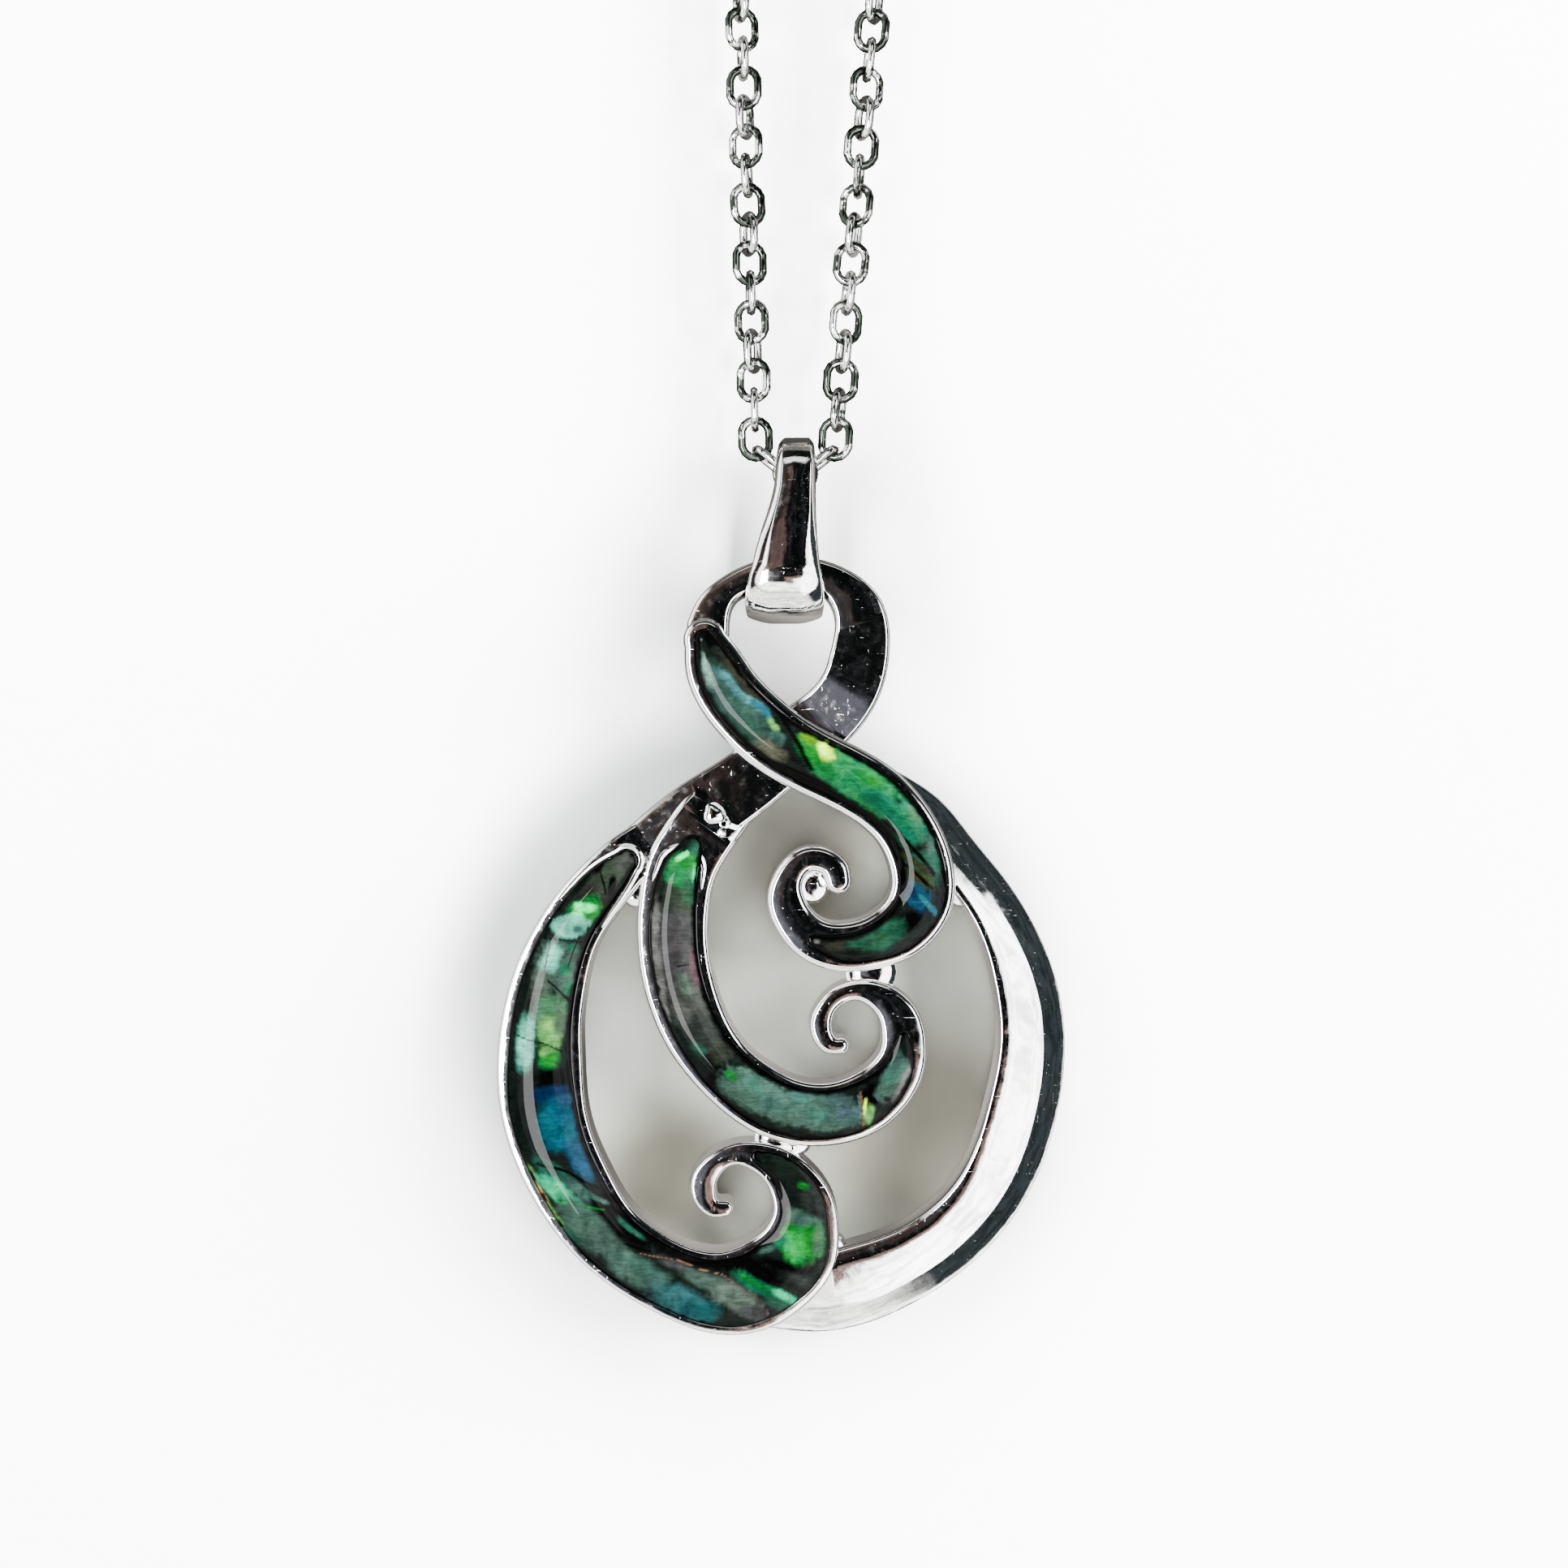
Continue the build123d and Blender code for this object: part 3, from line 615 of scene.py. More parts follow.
def tube(
    name: str, path: np.ndarray, radius: np.ndarray, sides: int = 8, closed: bool = False
) -> bpy.types.Object:
    """A round wire along a path, with pointed or closed ends.

    Args:
        name: Name of the piece.
        path: Points in millimetres, three columns.
        radius: Radius at each point.
        sides: Corners of its section.
        closed: Whether the last point joins the first.

    Returns:
        A closed mesh object.
    """
    count = len(path)
    ahead, behind = np.roll(path, -1, 0), np.roll(path, 1, 0)
    if not closed:
        ahead[-1], behind[0] = path[-1], path[0]
    run = ahead - behind
    run /= np.linalg.norm(run, axis=1)[:, None]
    first = np.cross(run, np.where(np.abs(run[:, 1:2]) > 0.9, [[1.0, 0, 0]], [[0, 1.0, 0]]))
    first /= np.linalg.norm(first, axis=1)[:, None]
    second = np.cross(run, first)
    turn = np.linspace(0, 2 * math.pi, sides, endpoint=False)
    points = path[:, None] + radius[:, None, None] * (
        first[:, None] * np.cos(turn)[None, :, None] + second[:, None] * np.sin(turn)[None, :, None]
    )
    faces = []
    for i in range(count if closed else count - 1):
        faces += between(i * sides, ((i + 1) % count) * sides, sides)
    if not closed:
        faces += [tuple(range(sides)), tuple(range((count - 1) * sides, count * sides))]
    return new_piece(name, points.reshape(-1, 3), faces, None)


class Nodes:
    """Short hand for building one node tree."""

    def __init__(self, tree: bpy.types.NodeTree) -> None:
        """Take the tree that the nodes go into."""
        self.tree = tree

    def add(self, kind: str, links: dict | None = None, **values: object) -> bpy.types.Node:
        """Add a node, set its properties and feed its inputs.

        Args:
            kind: Blender's name of the node type.
            links: Input name or number to an output socket or a plain value.
            values: Properties of the node.

        Returns:
            The node.
        """
        node = self.tree.nodes.new(kind)
        for key, value in values.items():
            setattr(node, key, value)
        for key, value in (links or {}).items():
            if isinstance(value, bpy.types.NodeSocket):
                self.tree.links.new(value, node.inputs[key])
            else:
                node.inputs[key].default_value = value
        return node

    def math(self, operation: str, *values: object) -> bpy.types.NodeSocket:
        """A Math node's result for these inputs."""
        return self.add("ShaderNodeMath", dict(enumerate(values)), operation=operation).outputs[0]

    def mix(self, share: object, first: object, second: object, blend: str = "MIX") -> bpy.types.NodeSocket:
        """Mix two colours.

        Args:
            share: Share of the second, a socket or a number.
            first, second: Colour sockets or plain colours of three values.
            blend: Blender's name of the way to mix them.

        Returns:
            The mixed colour.
        """
        # The colour sockets of a Mix node come after those for numbers and vectors
        links = {0: share, 6: first, 7: second}
        links = {key: (*value, 1.0) if isinstance(value, tuple) else value for key, value in links.items()}
        node = self.add("ShaderNodeMix", links, data_type="RGBA", blend_type=blend, clamp_factor=True)
        return node.outputs[2]

    def ramp(
        self, source: bpy.types.NodeSocket, low: float, high: float, out_low: float = 0.0, out_high: float = 1.0
    ) -> bpy.types.NodeSocket:
        """Map a value's range smoothly onto another.

        Args:
            source: The value.
            low, high: Its range.
            out_low, out_high: What the ends of that range give.

        Returns:
            The mapped value.
        """
        links = {0: source, 1: low, 2: high, 3: out_low, 4: out_high}
        return self.add("ShaderNodeMapRange", links, interpolation_type="SMOOTHSTEP").outputs[0]

    def noise(
        self, where: bpy.types.NodeSocket, scale: float, detail: float, roughness: float = 0.5, bend: float = 0.0
    ) -> bpy.types.NodeSocket:
        """Soft noise between about 0.3 and 0.7.

        Args:
            where: The place.
            scale: Cells in a metre.
            detail, roughness: How much fine noise lies over the coarse.
            bend: How far it is distorted.

        Returns:
            The noise.
        """
        links = {"Vector": where, "Scale": scale, "Detail": detail, "Roughness": roughness, "Distortion": bend}
        return self.add("ShaderNodeTexNoise", links).outputs[0]

    def streaks(
        self, where: bpy.types.NodeSocket, turn: tuple, scale: tuple, detail: float, roughness: float, bend: float
    ) -> bpy.types.NodeSocket:
        """Noise drawn out into streaks.

        Args:
            where: The place.
            turn: Angles that the place is turned by.
            scale: Cells in a metre along each turned axis.
            detail, roughness, bend: As for noise.

        Returns:
            The noise.
        """
        turned = self.add("ShaderNodeMapping", {"Vector": where, "Rotation": turn, "Scale": scale})
        return self.noise(turned.outputs[0], 1.0, detail, roughness, bend)

    def grey(self, level: bpy.types.NodeSocket) -> bpy.types.NodeSocket:
        """A grey of this level."""
        return self.add("ShaderNodeCombineColor", {0: level, 1: level, 2: level}).outputs[0]


def new_material(name: str) -> tuple[bpy.types.Material, Nodes]:
    """Start a material.

    Args:
        name: Its name.

    Returns:
        The material, and the short hand for its nodes.
    """
    made = bpy.data.materials.new(name)
    made.use_nodes = True
    return made, Nodes(made.node_tree)


def polish_group() -> bpy.types.NodeTree:
    """Node group for hand-polished metal: fine scratches and soft waves.

    Returns:
        A group with inputs Wave, Scratch and Shade, and outputs Height, Haze and Tint.
    """
    tree = bpy.data.node_groups.new("hand_polish", "ShaderNodeTree")
    for name in ("Wave", "Scratch", "Shade"):
        tree.interface.new_socket(name, in_out="INPUT", socket_type="NodeSocketFloat").default_value = 1.0
    for name, kind in (("Height", "Float"), ("Haze", "Float"), ("Tint", "Color")):
        tree.interface.new_socket(name, in_out="OUTPUT", socket_type=f"NodeSocket{kind}")
    n = Nodes(tree)
    source = n.add("NodeGroupInput")
    where = n.add("ShaderNodeTexCoord").outputs["Object"]
    wave = n.noise(where, 420.0, 2.0, 0.45)
    fine = n.noise(where, 2600.0, 3.0, 0.6)
    scratch = n.streaks(where, (0.3, 0.5, 0.9), (900.0, 900.0, 14000.0), 4.0, 0.75, 0.0)
    crossed = n.streaks(where, (0.9, 0.2, -0.7), (12000.0, 800.0, 800.0), 4.0, 0.75, 0.0)
    lines = n.math("ADD", n.ramp(scratch, 0.66, 0.80), n.ramp(crossed, 0.67, 0.81))
    waves = n.math("MULTIPLY", wave, source.outputs["Wave"])
    marks = n.math("MULTIPLY", lines, source.outputs["Scratch"])
    height = n.math("ADD", waves, n.math("MULTIPLY", n.math("ADD", fine, marks), 0.05))
    haze = n.math("ADD", n.math("MULTIPLY", marks, 0.10), n.math("MULTIPLY", n.ramp(fine, 0.45, 0.75), 0.07))
    tint = n.mix(n.ramp(wave, 0.35, 0.65), (0.93, 0.925, 0.915), (0.80, 0.80, 0.81))
    tint = n.mix(1.0, tint, n.grey(source.outputs["Shade"]), "MULTIPLY")
    n.add("NodeGroupOutput", {"Height": height, "Haze": haze, "Tint": tint})
    return tree


@dataclass(frozen=True)
class Silver:
    """Finish of a polished silver piece.

    Attributes:
        name: Name of the material.
        polish: The shared node group.
        roughness: Roughness where nothing marks it.
        wave: Strength of the soft waves.
        scratch: Strength of the scratches.
        bump: Height of both in metres.
        shade: Share of the light that it sends back.
        painted_dark_reflection: Share of its dark patches, which are painted dark reflections.
        dark: Tone of those patches.
        turned_highlight: How much the bright mark on a turned link holds them back, which paints that link as a
            highlight.
    """

    name: str
    polish: bpy.types.NodeTree
    roughness: float
    bump: float
    wave: float = 1.0
    scratch: float = 1.0
    shade: float = 1.0
    painted_dark_reflection: float = 0.0
    dark: tuple[float, float, float] = (0.050, 0.060, 0.050)
    turned_highlight: float = 0.13

    def material(self) -> bpy.types.Material:
        """Build the material.

        Returns:
            A metal with the shared polish and, where it has any, its painted dark reflections.
        """
        made, n = new_material(self.name)
        shader = made.node_tree.nodes["Principled BSDF"]
        group = n.add("ShaderNodeGroup", node_tree=self.polish)
        for name, value in (("Wave", self.wave), ("Scratch", self.scratch), ("Shade", self.shade)):
            group.inputs[name].default_value = value
        relief = {"Height": group.outputs["Height"], "Strength": 1.0, "Distance": self.bump}
        shader.inputs["Metallic"].default_value = 1.0
        tint = group.outputs["Tint"]
        # Painted shade: dark patches stand in for the dark room mirrored in the wire, and links marked bright are
        # kept clear of them as painted highlights.
        if self.painted_dark_reflection:
            where = n.add("ShaderNodeTexCoord").outputs["Object"]
            bright = n.add("ShaderNodeAttribute", attribute_name="bright", attribute_type="GEOMETRY")
            kept = n.math("MULTIPLY", bright.outputs["Fac"], self.turned_highlight)
            level = n.math("SUBTRACT", n.noise(where, 1100.0, 3.0, 0.6), kept)
            # The noise lies round 0.5: hardly any of it is above 0.62 and nearly all above 0.37
            low = 0.62 - 0.25 * self.painted_dark_reflection
            tint = n.mix(n.ramp(level, low, low + 0.07), tint, self.dark)
        rough = n.math("ADD", group.outputs["Haze"], self.roughness)
        made.node_tree.links.new(tint, shader.inputs["Base Color"])
        made.node_tree.links.new(rough, shader.inputs["Roughness"])
        made.node_tree.links.new(n.add("ShaderNodeBump", relief).outputs[0], shader.inputs["Normal"])
        return made


@dataclass(frozen=True)
class Shell:
    """Finish of the shell under its clear dome: painted tones, fine growth lines and a wet gloss.

    Attributes:
        name: Name of the material.
        roughness: Roughness of the shell.
        gloss: Weight, roughness and refractive index of the resin over it.
    """

    name: str
    roughness: float = 0.32
    gloss: tuple[float, float, float] = (0.07, 0.025, 1.52)

    def material(self) -> bpy.types.Material:
        """Build the material.

        Returns:
            A material that reads the tones painted on the corners.
        """
        made, n = new_material(self.name)
        shader = made.node_tree.nodes["Principled BSDF"]
        tone = n.add("ShaderNodeAttribute", attribute_name="shell_tone_and_painted_gloss", attribute_type="GEOMETRY")
        where = n.add("ShaderNodeTexCoord").outputs["Object"]
        cloud = n.noise(where, 1100.0, 5.0, 0.62, 0.8)
        layers = n.streaks(where, (0.0, 0.6, 0.0), (900.0, 900.0, 5200.0), 5.0, 0.7, 1.4)
        patch = n.add("ShaderNodeTexVoronoi", {"Vector": where, "Scale": 900.0}, feature="SMOOTH_F1")
        shade = n.math("MULTIPLY", n.ramp(cloud, 0.30, 0.70, 0.58, 1.30), n.ramp(layers, 0.34, 0.66, 0.72, 1.22))
        worked = n.mix(1.0, tone.outputs["Color"], n.grey(shade), "MULTIPLY")
        hue = n.ramp(patch.outputs[0], 0.0, 1.0, 0.485, 0.515)
        turned = n.add("ShaderNodeHueSaturation", {"Hue": hue, "Saturation": 1.0, "Value": 1.0, "Color": worked})
        made.node_tree.links.new(turned.outputs[0], shader.inputs["Base Color"])
        shader.inputs["Roughness"].default_value = self.roughness
        shader.inputs["Specular IOR Level"].default_value = 0.0
        for name, value in zip(("Coat Weight", "Coat Roughness", "Coat IOR"), self.gloss):
            shader.inputs[name].default_value = value
        return made


@dataclass
class CastFrame:
    """The one-piece silver casting: five ribbons, its bridges, its joint lump and its three cells.

    Attributes:
        finish: Its material.
        cell_depth: Depth of the cells below the front.
        cell_step: Distance between samples along a cell.
        cell_mouth: How far a cell widens at its mouth, and how deep.
        clearance: How far a cutter stands out at the front.
        rounding: Radius of the edges at the back.
        edge: Inset and drop of each ring of the rounded edges at the front.
        breadths: Share of that edge at the twist, the middle and the outer ribbon.
        dip: How far the lower band dips under the crossing, where as a share of its length, and its reach.
        sink: How far a ribbon that starts under the band is sunk there, and on what share of its length.
        lift: How far the crescent's inner edge is lifted, and the shares between which that ends.
        lip: Distance of the raised lips from their cell, their least radius, what is added and their sinking.
        post_sides: Corners of a bridge's section.
        post_foot: Height of the bridges' feet over the back.
        sharp: Edges above this angle in degrees stay sharp.
    """

    finish: bpy.types.Material
    cell_depth: float = 0.42
    cell_step: float = 0.2
    cell_mouth: float = 0.05
    clearance: float = 0.6
    rounding: float = 0.24
    edge: tuple[tuple[float, float], ...] = (
        (0.0, 0.200), (0.022, 0.131), (0.072, 0.078), (0.134, 0.028), (0.181, 0.006), (0.212, 0.0),
    )
    breadths: tuple[float, float, float] = (1.35, 1.15, 0.75)
    dip: tuple[float, float, float] = (0.36, 0.60, 0.075)
    sink: tuple[float, float] = (0.42, 0.065)
    lift: tuple[float, float, float] = (0.115, 0.56, 0.74)
    lip: tuple[float, float, float, float] = (0.22, 0.03, 0.11, 0.02)
    post_sides: int = 24
    post_foot: float = 0.25
    sharp: float = 32.0

    def back_edge(self, back: float) -> list[Level]:
        """Rings of a rounded edge at the back.

        Args:
            back: Height of the back.

        Returns:
            The rings, from the back up.
        """
        turns = [math.radians(turn) for turn in (90, 60, 30, 0)]
        return [even(self.rounding * (1 - math.cos(t)), back + self.rounding * (1 - math.sin(t))) for t in turns]

    def rim(self, front: float, back: float, breadth: float = 1.0) -> list[Level]:
        """Rings of a ribbon with rounded edges.

        Args:
            front, back: Heights of its front and its back.
            breadth: Share of the front edge's inset and drop.

        Returns:
            The rings, from the back to the front.
        """
        levels = self.back_edge(back)
        for inset, drop in self.edge:
            levels.append(even(inset * breadth, front - drop * breadth, 1.0))
        return levels

    def dipped(self, share: np.ndarray) -> np.ndarray:
        """Lift of the lower band at a share of its length."""
        depth, middle, reach = self.dip
        return -depth * np.exp(-(((share - middle) / reach) ** 2))

    def sunk(self, share: np.ndarray) -> np.ndarray:
        """Lift of a ribbon that starts under the band at a share of its length."""
        return -self.sink[0] * (1 - smooth(0.0, self.sink[1], share))

    def lifted(self, share: np.ndarray) -> np.ndarray:
        """Lift of the crescent's inner edge at a share of its length."""
        return self.lift[0] * (1 - smooth(self.lift[1], self.lift[2], share))

    def build(self) -> bpy.types.Object:
        """Build the casting.

        Returns:
            The piece that stands for pendant_frame.
        """
        twist, middle, outer = self.breadths
        base = skin("koru_casting", Outline(BAND_ROWS), self.rim(BAND_FRONT, BACK), self.dipped)
        tools = [
            skin("twist", Outline(TWIST_ROWS), self.rim(TWIST_FRONT, TWIST_BACK, twist)),
            skin("middle", Outline(MIDDLE_ROWS), self.rim(FRONT, BACK, middle), self.sunk),
            skin("outer", Outline(OUTER_ROWS), self.rim(FRONT, BACK, outer), self.sunk),
            self.crescent(),
            self.arch("arch_middle", MIDDLE_ROWS[3:], 0.05),
            self.arch("arch_outer", OUTER_ROWS, 0.10),
        ]
        carve(base, tools + self.bridges(), "UNION")
        cells = (("t", TWIST_ROWS, TWIST_FRONT), ("m", MIDDLE_ROWS, FRONT), ("o", OUTER_ROWS, FRONT))
        carve(base, [self.cell(*cell) for cell in cells], "DIFFERENCE")
        base.data.materials.clear()
        base.data.materials.append(self.finish)
        base.data.shade_smooth()
        base.data.set_sharp_from_angle(angle=math.radians(self.sharp))
        weighted = base.modifiers.new("weighted", "WEIGHTED_NORMAL")
        weighted.keep_sharp, weighted.weight = True, 80
        return applied(base)

    def cell(self, name: str, rows: Sequence[tuple[float, ...]], front: float) -> bpy.types.Object:
        """What is cut out for an inlay.

        Args:
            name: Name of the cutter.
            rows: Sections of the ribbon.
            front: Height of its front.

        Returns:
            A closed mesh object.
        """
        mouth = self.cell_mouth
        levels = [
            even(0, front - self.cell_depth), even(0, front - mouth),
            even(-mouth, front + 0.001), even(-mouth, front + self.clearance),
        ]
        return skin(name, Outline(rows, CELL_WIDTH, self.cell_step), levels)

    def crescent(self) -> bpy.types.Object:
        """The plain crescent: a broad facet that leans outward and a narrower strip that falls away.

        Returns:
            A closed mesh object.
        """
        levels = self.back_edge(BACK) + [
            Level(0.0, 0.12, 0.0, 0.84),
            Level(0.04, 0.17, 0.03, 0.94, 0.0, 0.6),
            Level(0.58, 0.47, 0.08, 1.01, 0.0, 0.8),
            Level(1.08, 0.74, 0.14, 1.05, 0.0, 1.0),
            Level(1.20, 0.79, 0.24, 1.075, 0.0, 1.0),
            Level(1.70, 0.90, 0.92, 1.17, 0.0, -1.05),
        ]
        return skin("crescent", Outline(CRESCENT_ROWS), levels, self.lifted)

    def arch(self, name: str, rows: Sequence[tuple[float, ...]], reach: float) -> bpy.types.Object:
        """A raised bright lip round the pointed start of a cell.

        Args:
            name: Name of the piece.
            rows: Sections of the ribbon.
            reach: Share of the cell's length that the lip runs down both sides.

        Returns:
            A closed mesh object.
        """
        outline = Outline(rows, CELL_WIDTH, self.cell_step)
        away, least, added, sunk = self.lip
        left, right = outline.chains(-away, -away)
        keep = outline.cap + int(len(outline.at) * reach)
        path = np.vstack([left[1:keep][::-1], right[:keep]])
        radius = least + added * np.sin(np.linspace(0, math.pi, len(path))) ** 0.5
        points = np.column_stack([path[:, 0], np.full(len(path), -FRONT + sunk), path[:, 1]])
        return tube(name, points, radius)

    def bridges(self) -> list[bpy.types.Object]:
        """Solder between neighbours, the floor of the small pocket and the lump of the joint.

        Returns:
            Closed mesh objects.
        """
        # Place and radius as shares of the disc radius, and the height of the top
        posts = (
            (0.315, 0.272, 0.090, 0.15), (-0.020, -0.315, 0.078, 0.5), (0.045, -0.315, 0.062, 0.45),
            (0.630, 0.555, 0.055, 0.5), (-0.515, 0.550, 0.052, 0.4), (0.170, -0.710, 0.062, 0.6),
            (0.105, 0.575, 0.060, 0.7),
        )
        made = [
            self.post(f"bridge_{number}", x, z, radius * DISC_RADIUS, top)
            for number, (x, z, radius, top) in enumerate(posts)
        ]
        # Place as shares of the disc radius, radius, height and seed
        for name, x, z, radius, height, seed in (
            ("lump_top", -0.240, 0.832, 0.62, BAND_FRONT - 0.12, 3.0),
            ("lump_foot", -0.205, 0.800, 0.40, BAND_FRONT - 0.10, 7.0),
            ("lump_low", -0.212, 0.768, 0.26, FRONT - 0.12, 5.0),
        ):
            made.append(self.lump(name, x, z, radius, height, seed))
        return made

    def post(self, name: str, x: float, z: float, radius: float, top: float) -> bpy.types.Object:
        """A round post with a softly domed top.

        Args:
            name: Name of the piece.
            x, z: Its place as shares of the disc radius.
            radius: Its radius in millimetres.
            top: Height of its top.

        Returns:
            A closed mesh object.
        """
        sides, floor = self.post_sides, BACK + self.post_foot
        middle = DISC_X + x * DISC_RADIUS, DISC_Z + z * DISC_RADIUS
        rings = (
            (radius * 0.9, floor), (radius, floor + 0.15), (radius, top - 0.3),
            (radius * 0.8, top - 0.1), (radius * 0.4, top),
        )
        turns = np.linspace(0, 2 * math.pi, sides, endpoint=False)
        points = [
            (middle[0] + size * math.cos(turn), -height, middle[1] + size * math.sin(turn))
            for size, height in rings for turn in turns
        ]
        last = (len(rings) - 1) * sides
        faces = []
        for start in range(0, last, sides):
            faces += between(start, start + sides, sides)
        faces += [tuple(range(sides)), tuple(range(last, last + sides))]
        return new_piece(name, np.array(points), faces)

    @staticmethod
    def lump(name: str, x: float, z: float, radius: float, height: float, seed: float) -> bpy.types.Object:
        """An uneven ball of solder.

        Args:
            name: Name of the piece.
            x, z: Its place as shares of the disc radius.
            radius: Its radius in millimetres.
            height: Height of its middle.
            seed: What its noise starts from.

        Returns:
            A closed mesh object.
        """
        shape = bmesh.new()
        bmesh.ops.create_icosphere(shape, subdivisions=3, radius=1.0)
        for vertex in shape.verts:
            coarse = noise.noise(vertex.co * 1.4 + Vector((seed, 0, 0)))
            swell = 1 + 0.26 * coarse + 0.03 * noise.noise(vertex.co * 4 + Vector((0, seed, 0)))
            at = vertex.co * radius * swell
            place = (DISC_X + x * DISC_RADIUS + at.x, -height + at.y * 0.7, DISC_Z + z * DISC_RADIUS + at.z)
            vertex.co = Vector(place) * MM
        mesh = bpy.data.meshes.new(name)
        shape.to_mesh(mesh)
        shape.free()
        return linked(name, mesh)


@dataclass
class ShellInlay:
    """One inlay of shell under a clear dome.

    Attributes:
        name: Name of the piece.
        rows: Sections of the ribbon that holds it.
        front: Height of the ribbon's front.
        patches: Blots of tone, some of them painted highlights.
        veins: Thin lines.
        margin: Width of the dark margin on the left and right, in millimetres.
        finish: Its material.
        dome: Height of the dome over its edge.
        calm: Share of that height lost toward the end, and the shares of the length between which it goes.
        roundness: Power of the dome's section. A higher one is flatter in its middle.
        step: Distance between samples.
        gap: Gap between the inlay and its cell.
        edge_depth: Depth of the dome's edge below the front.
        foot_depth: Depth of the inlay's foot below the front.
        warp: How far the noise bends the blots, as a share of the disc radius.
    """

    name: str
    rows: Sequence[tuple[float, ...]]
    front: float
    patches: Sequence[tuple]
    veins: Sequence[tuple]
    margin: tuple[float, float]
    finish: bpy.types.Material
    dome: float = 0.36
    calm: tuple[float, float, float] = (0.55, 0.62, 0.76)
    roundness: float = 2.3
    step: float = 0.085
    gap: float = 0.03
    edge_depth: float = 0.04
    foot_depth: float = 0.40
    warp: float = 0.014

    def build(self) -> bpy.types.Object:
        """Build the dome and paint it.

        Returns:
            The painted piece.
        """
        outline = Outline(self.rows, CELL_WIDTH, self.step, 10)
        left, right = outline.chains(self.gap, self.gap)
        width = np.linalg.norm(left - right, axis=1)
        share = np.linspace(-1, 1, max(int(width.max() / self.step), 16) + 1)
        grid = right[:, None] + (left - right)[:, None] * ((share + 1) / 2)[None, :, None]
        swell = self.dome * np.minimum(1, width / width.max() * 1.15)
        swell = swell * (1 - self.calm[0] * smooth(self.calm[1], self.calm[2], outline.along()))
        rise = swell[:, None] * (1 - np.abs(share)[None] ** self.roundness)
        top = np.stack([grid[..., 0], -(self.front - self.edge_depth + rise), grid[..., 1]], axis=-1)
        feet = [top[:, 0].copy(), top[:, -1].copy()]
        for foot in feet:
            foot[:, 1] = -(self.front - self.foot_depth)
        sheet = np.concatenate([feet[0][:, None], top, feet[1][:, None]], axis=1)
        rows, across = sheet.shape[:2]
        starts = [i * across for i in range(rows)]
        faces = [
            (a + j, a + j + 1, b + j + 1, b + j) for a, b in zip(starts, starts[1:]) for j in range(across - 1)
        ]
        faces += [(a, b, b + across - 1, a + across - 1) for a, b in zip(starts, starts[1:])]
        piece = new_piece(self.name, sheet.reshape(-1, 3), faces, 50.0)
        self.paint(piece, left, right)
        piece.data.materials.append(self.finish)
        return piece

    def paint(self, piece: bpy.types.Object, left: np.ndarray, right: np.ndarray) -> None:
        """Give each corner its tone from the blots, some of them painted highlights, the lines and the dark
        margins.

        Args:
            piece: The dome.
            left, right: Its two sides.
        """
        mesh = piece.data
        points = np.empty(len(mesh.vertices) * 3)
        mesh.vertices.foreach_get("co", points)
        points = points.reshape(-1, 3) / MM
        x, z = (points[:, 0] - DISC_X) / DISC_RADIUS, (points[:, 2] - DISC_Z) / DISC_RADIUS
        # Noise at three scales: it bends the blots, frays their edges and tears them
        bent = np.array([
            [noise.noise(Vector((a * 9, b * 9, layer))) for layer in (3.0, 57.0)] for a, b in zip(x, z)
        ])
        fine = np.array([noise.noise(Vector((a * 34, b * 34, 8.0))) for a, b in zip(x, z)])
        torn = np.array([noise.noise(Vector((a * 95 + b * 30, b * 60 - a * 20, 2.0))) for a, b in zip(x, z)])
        x, z = x + bent[:, 0] * self.warp, z + bent[:, 1] * self.warp
        tone = np.tile(TONES["ground"], (len(x), 1)).astype(float)

        def cover(name: str, share: np.ndarray) -> None:
            """Lay a tone over what is there by its share at each corner."""
            tone[:] += (np.array(TONES[name]) - tone) * share[:, None]

        for name, px, pz, long, short, turn, soft in self.patches:
            angle = math.radians(turn)
            along = (x - px) * math.cos(angle) + (z - pz) * math.sin(angle)
            over = (z - pz) * math.cos(angle) - (x - px) * math.sin(angle)
            reach = (np.abs(along / long) ** 3 + np.abs(over / short) ** 3) ** (1 / 3) + fine * 0.13 + torn * 0.16
            cover(name, 1 - smooth(1 - soft, 1 + soft * 0.45, reach))
        for name, ax, az, bx, bz, thick in self.veins:
            run = np.array([bx - ax, bz - az])
            share = np.clip(((x - ax) * run[0] + (z - az) * run[1]) / run.dot(run), 0, 1)
            gap = np.hypot(x - ax - run[0] * share, z - az - run[1] * share)
            cover(name, 1 - smooth(thick * 0.35, thick * 0.95, gap + fine * thick * 0.25))
        for side, margin in zip((left, right), self.margin):
            reach = self.nearest(points[:, [0, 2]], side)
            cover("black", 1 - smooth(margin * 0.55, margin * 1.35, reach + fine * 0.10))
        # The colour layer holds the shell's tones and the painted highlights laid among them.
        layer = mesh.color_attributes.new("shell_tone_and_painted_gloss", "FLOAT_COLOR", "POINT")
        layer.data.foreach_set("color", np.column_stack([tone, np.ones(len(tone))]).ravel())

    @staticmethod
    def nearest(places: np.ndarray, line: np.ndarray, chunk: int = 64) -> np.ndarray:
        """Distance of each place from a closely sampled line.

        Args:
            places: Points in x and z.
            line: Points in x and z.
            chunk: Points of the line that are compared at a time.

        Returns:
            The distance to the line's nearest point, for each place.
        """
        best = np.full(len(places), np.inf)
        for start in range(0, len(line), chunk):
            gap = places[:, None] - line[None, start : start + chunk]
            best = np.minimum(best, np.hypot(gap[..., 0], gap[..., 1]).min(axis=1))
        return best


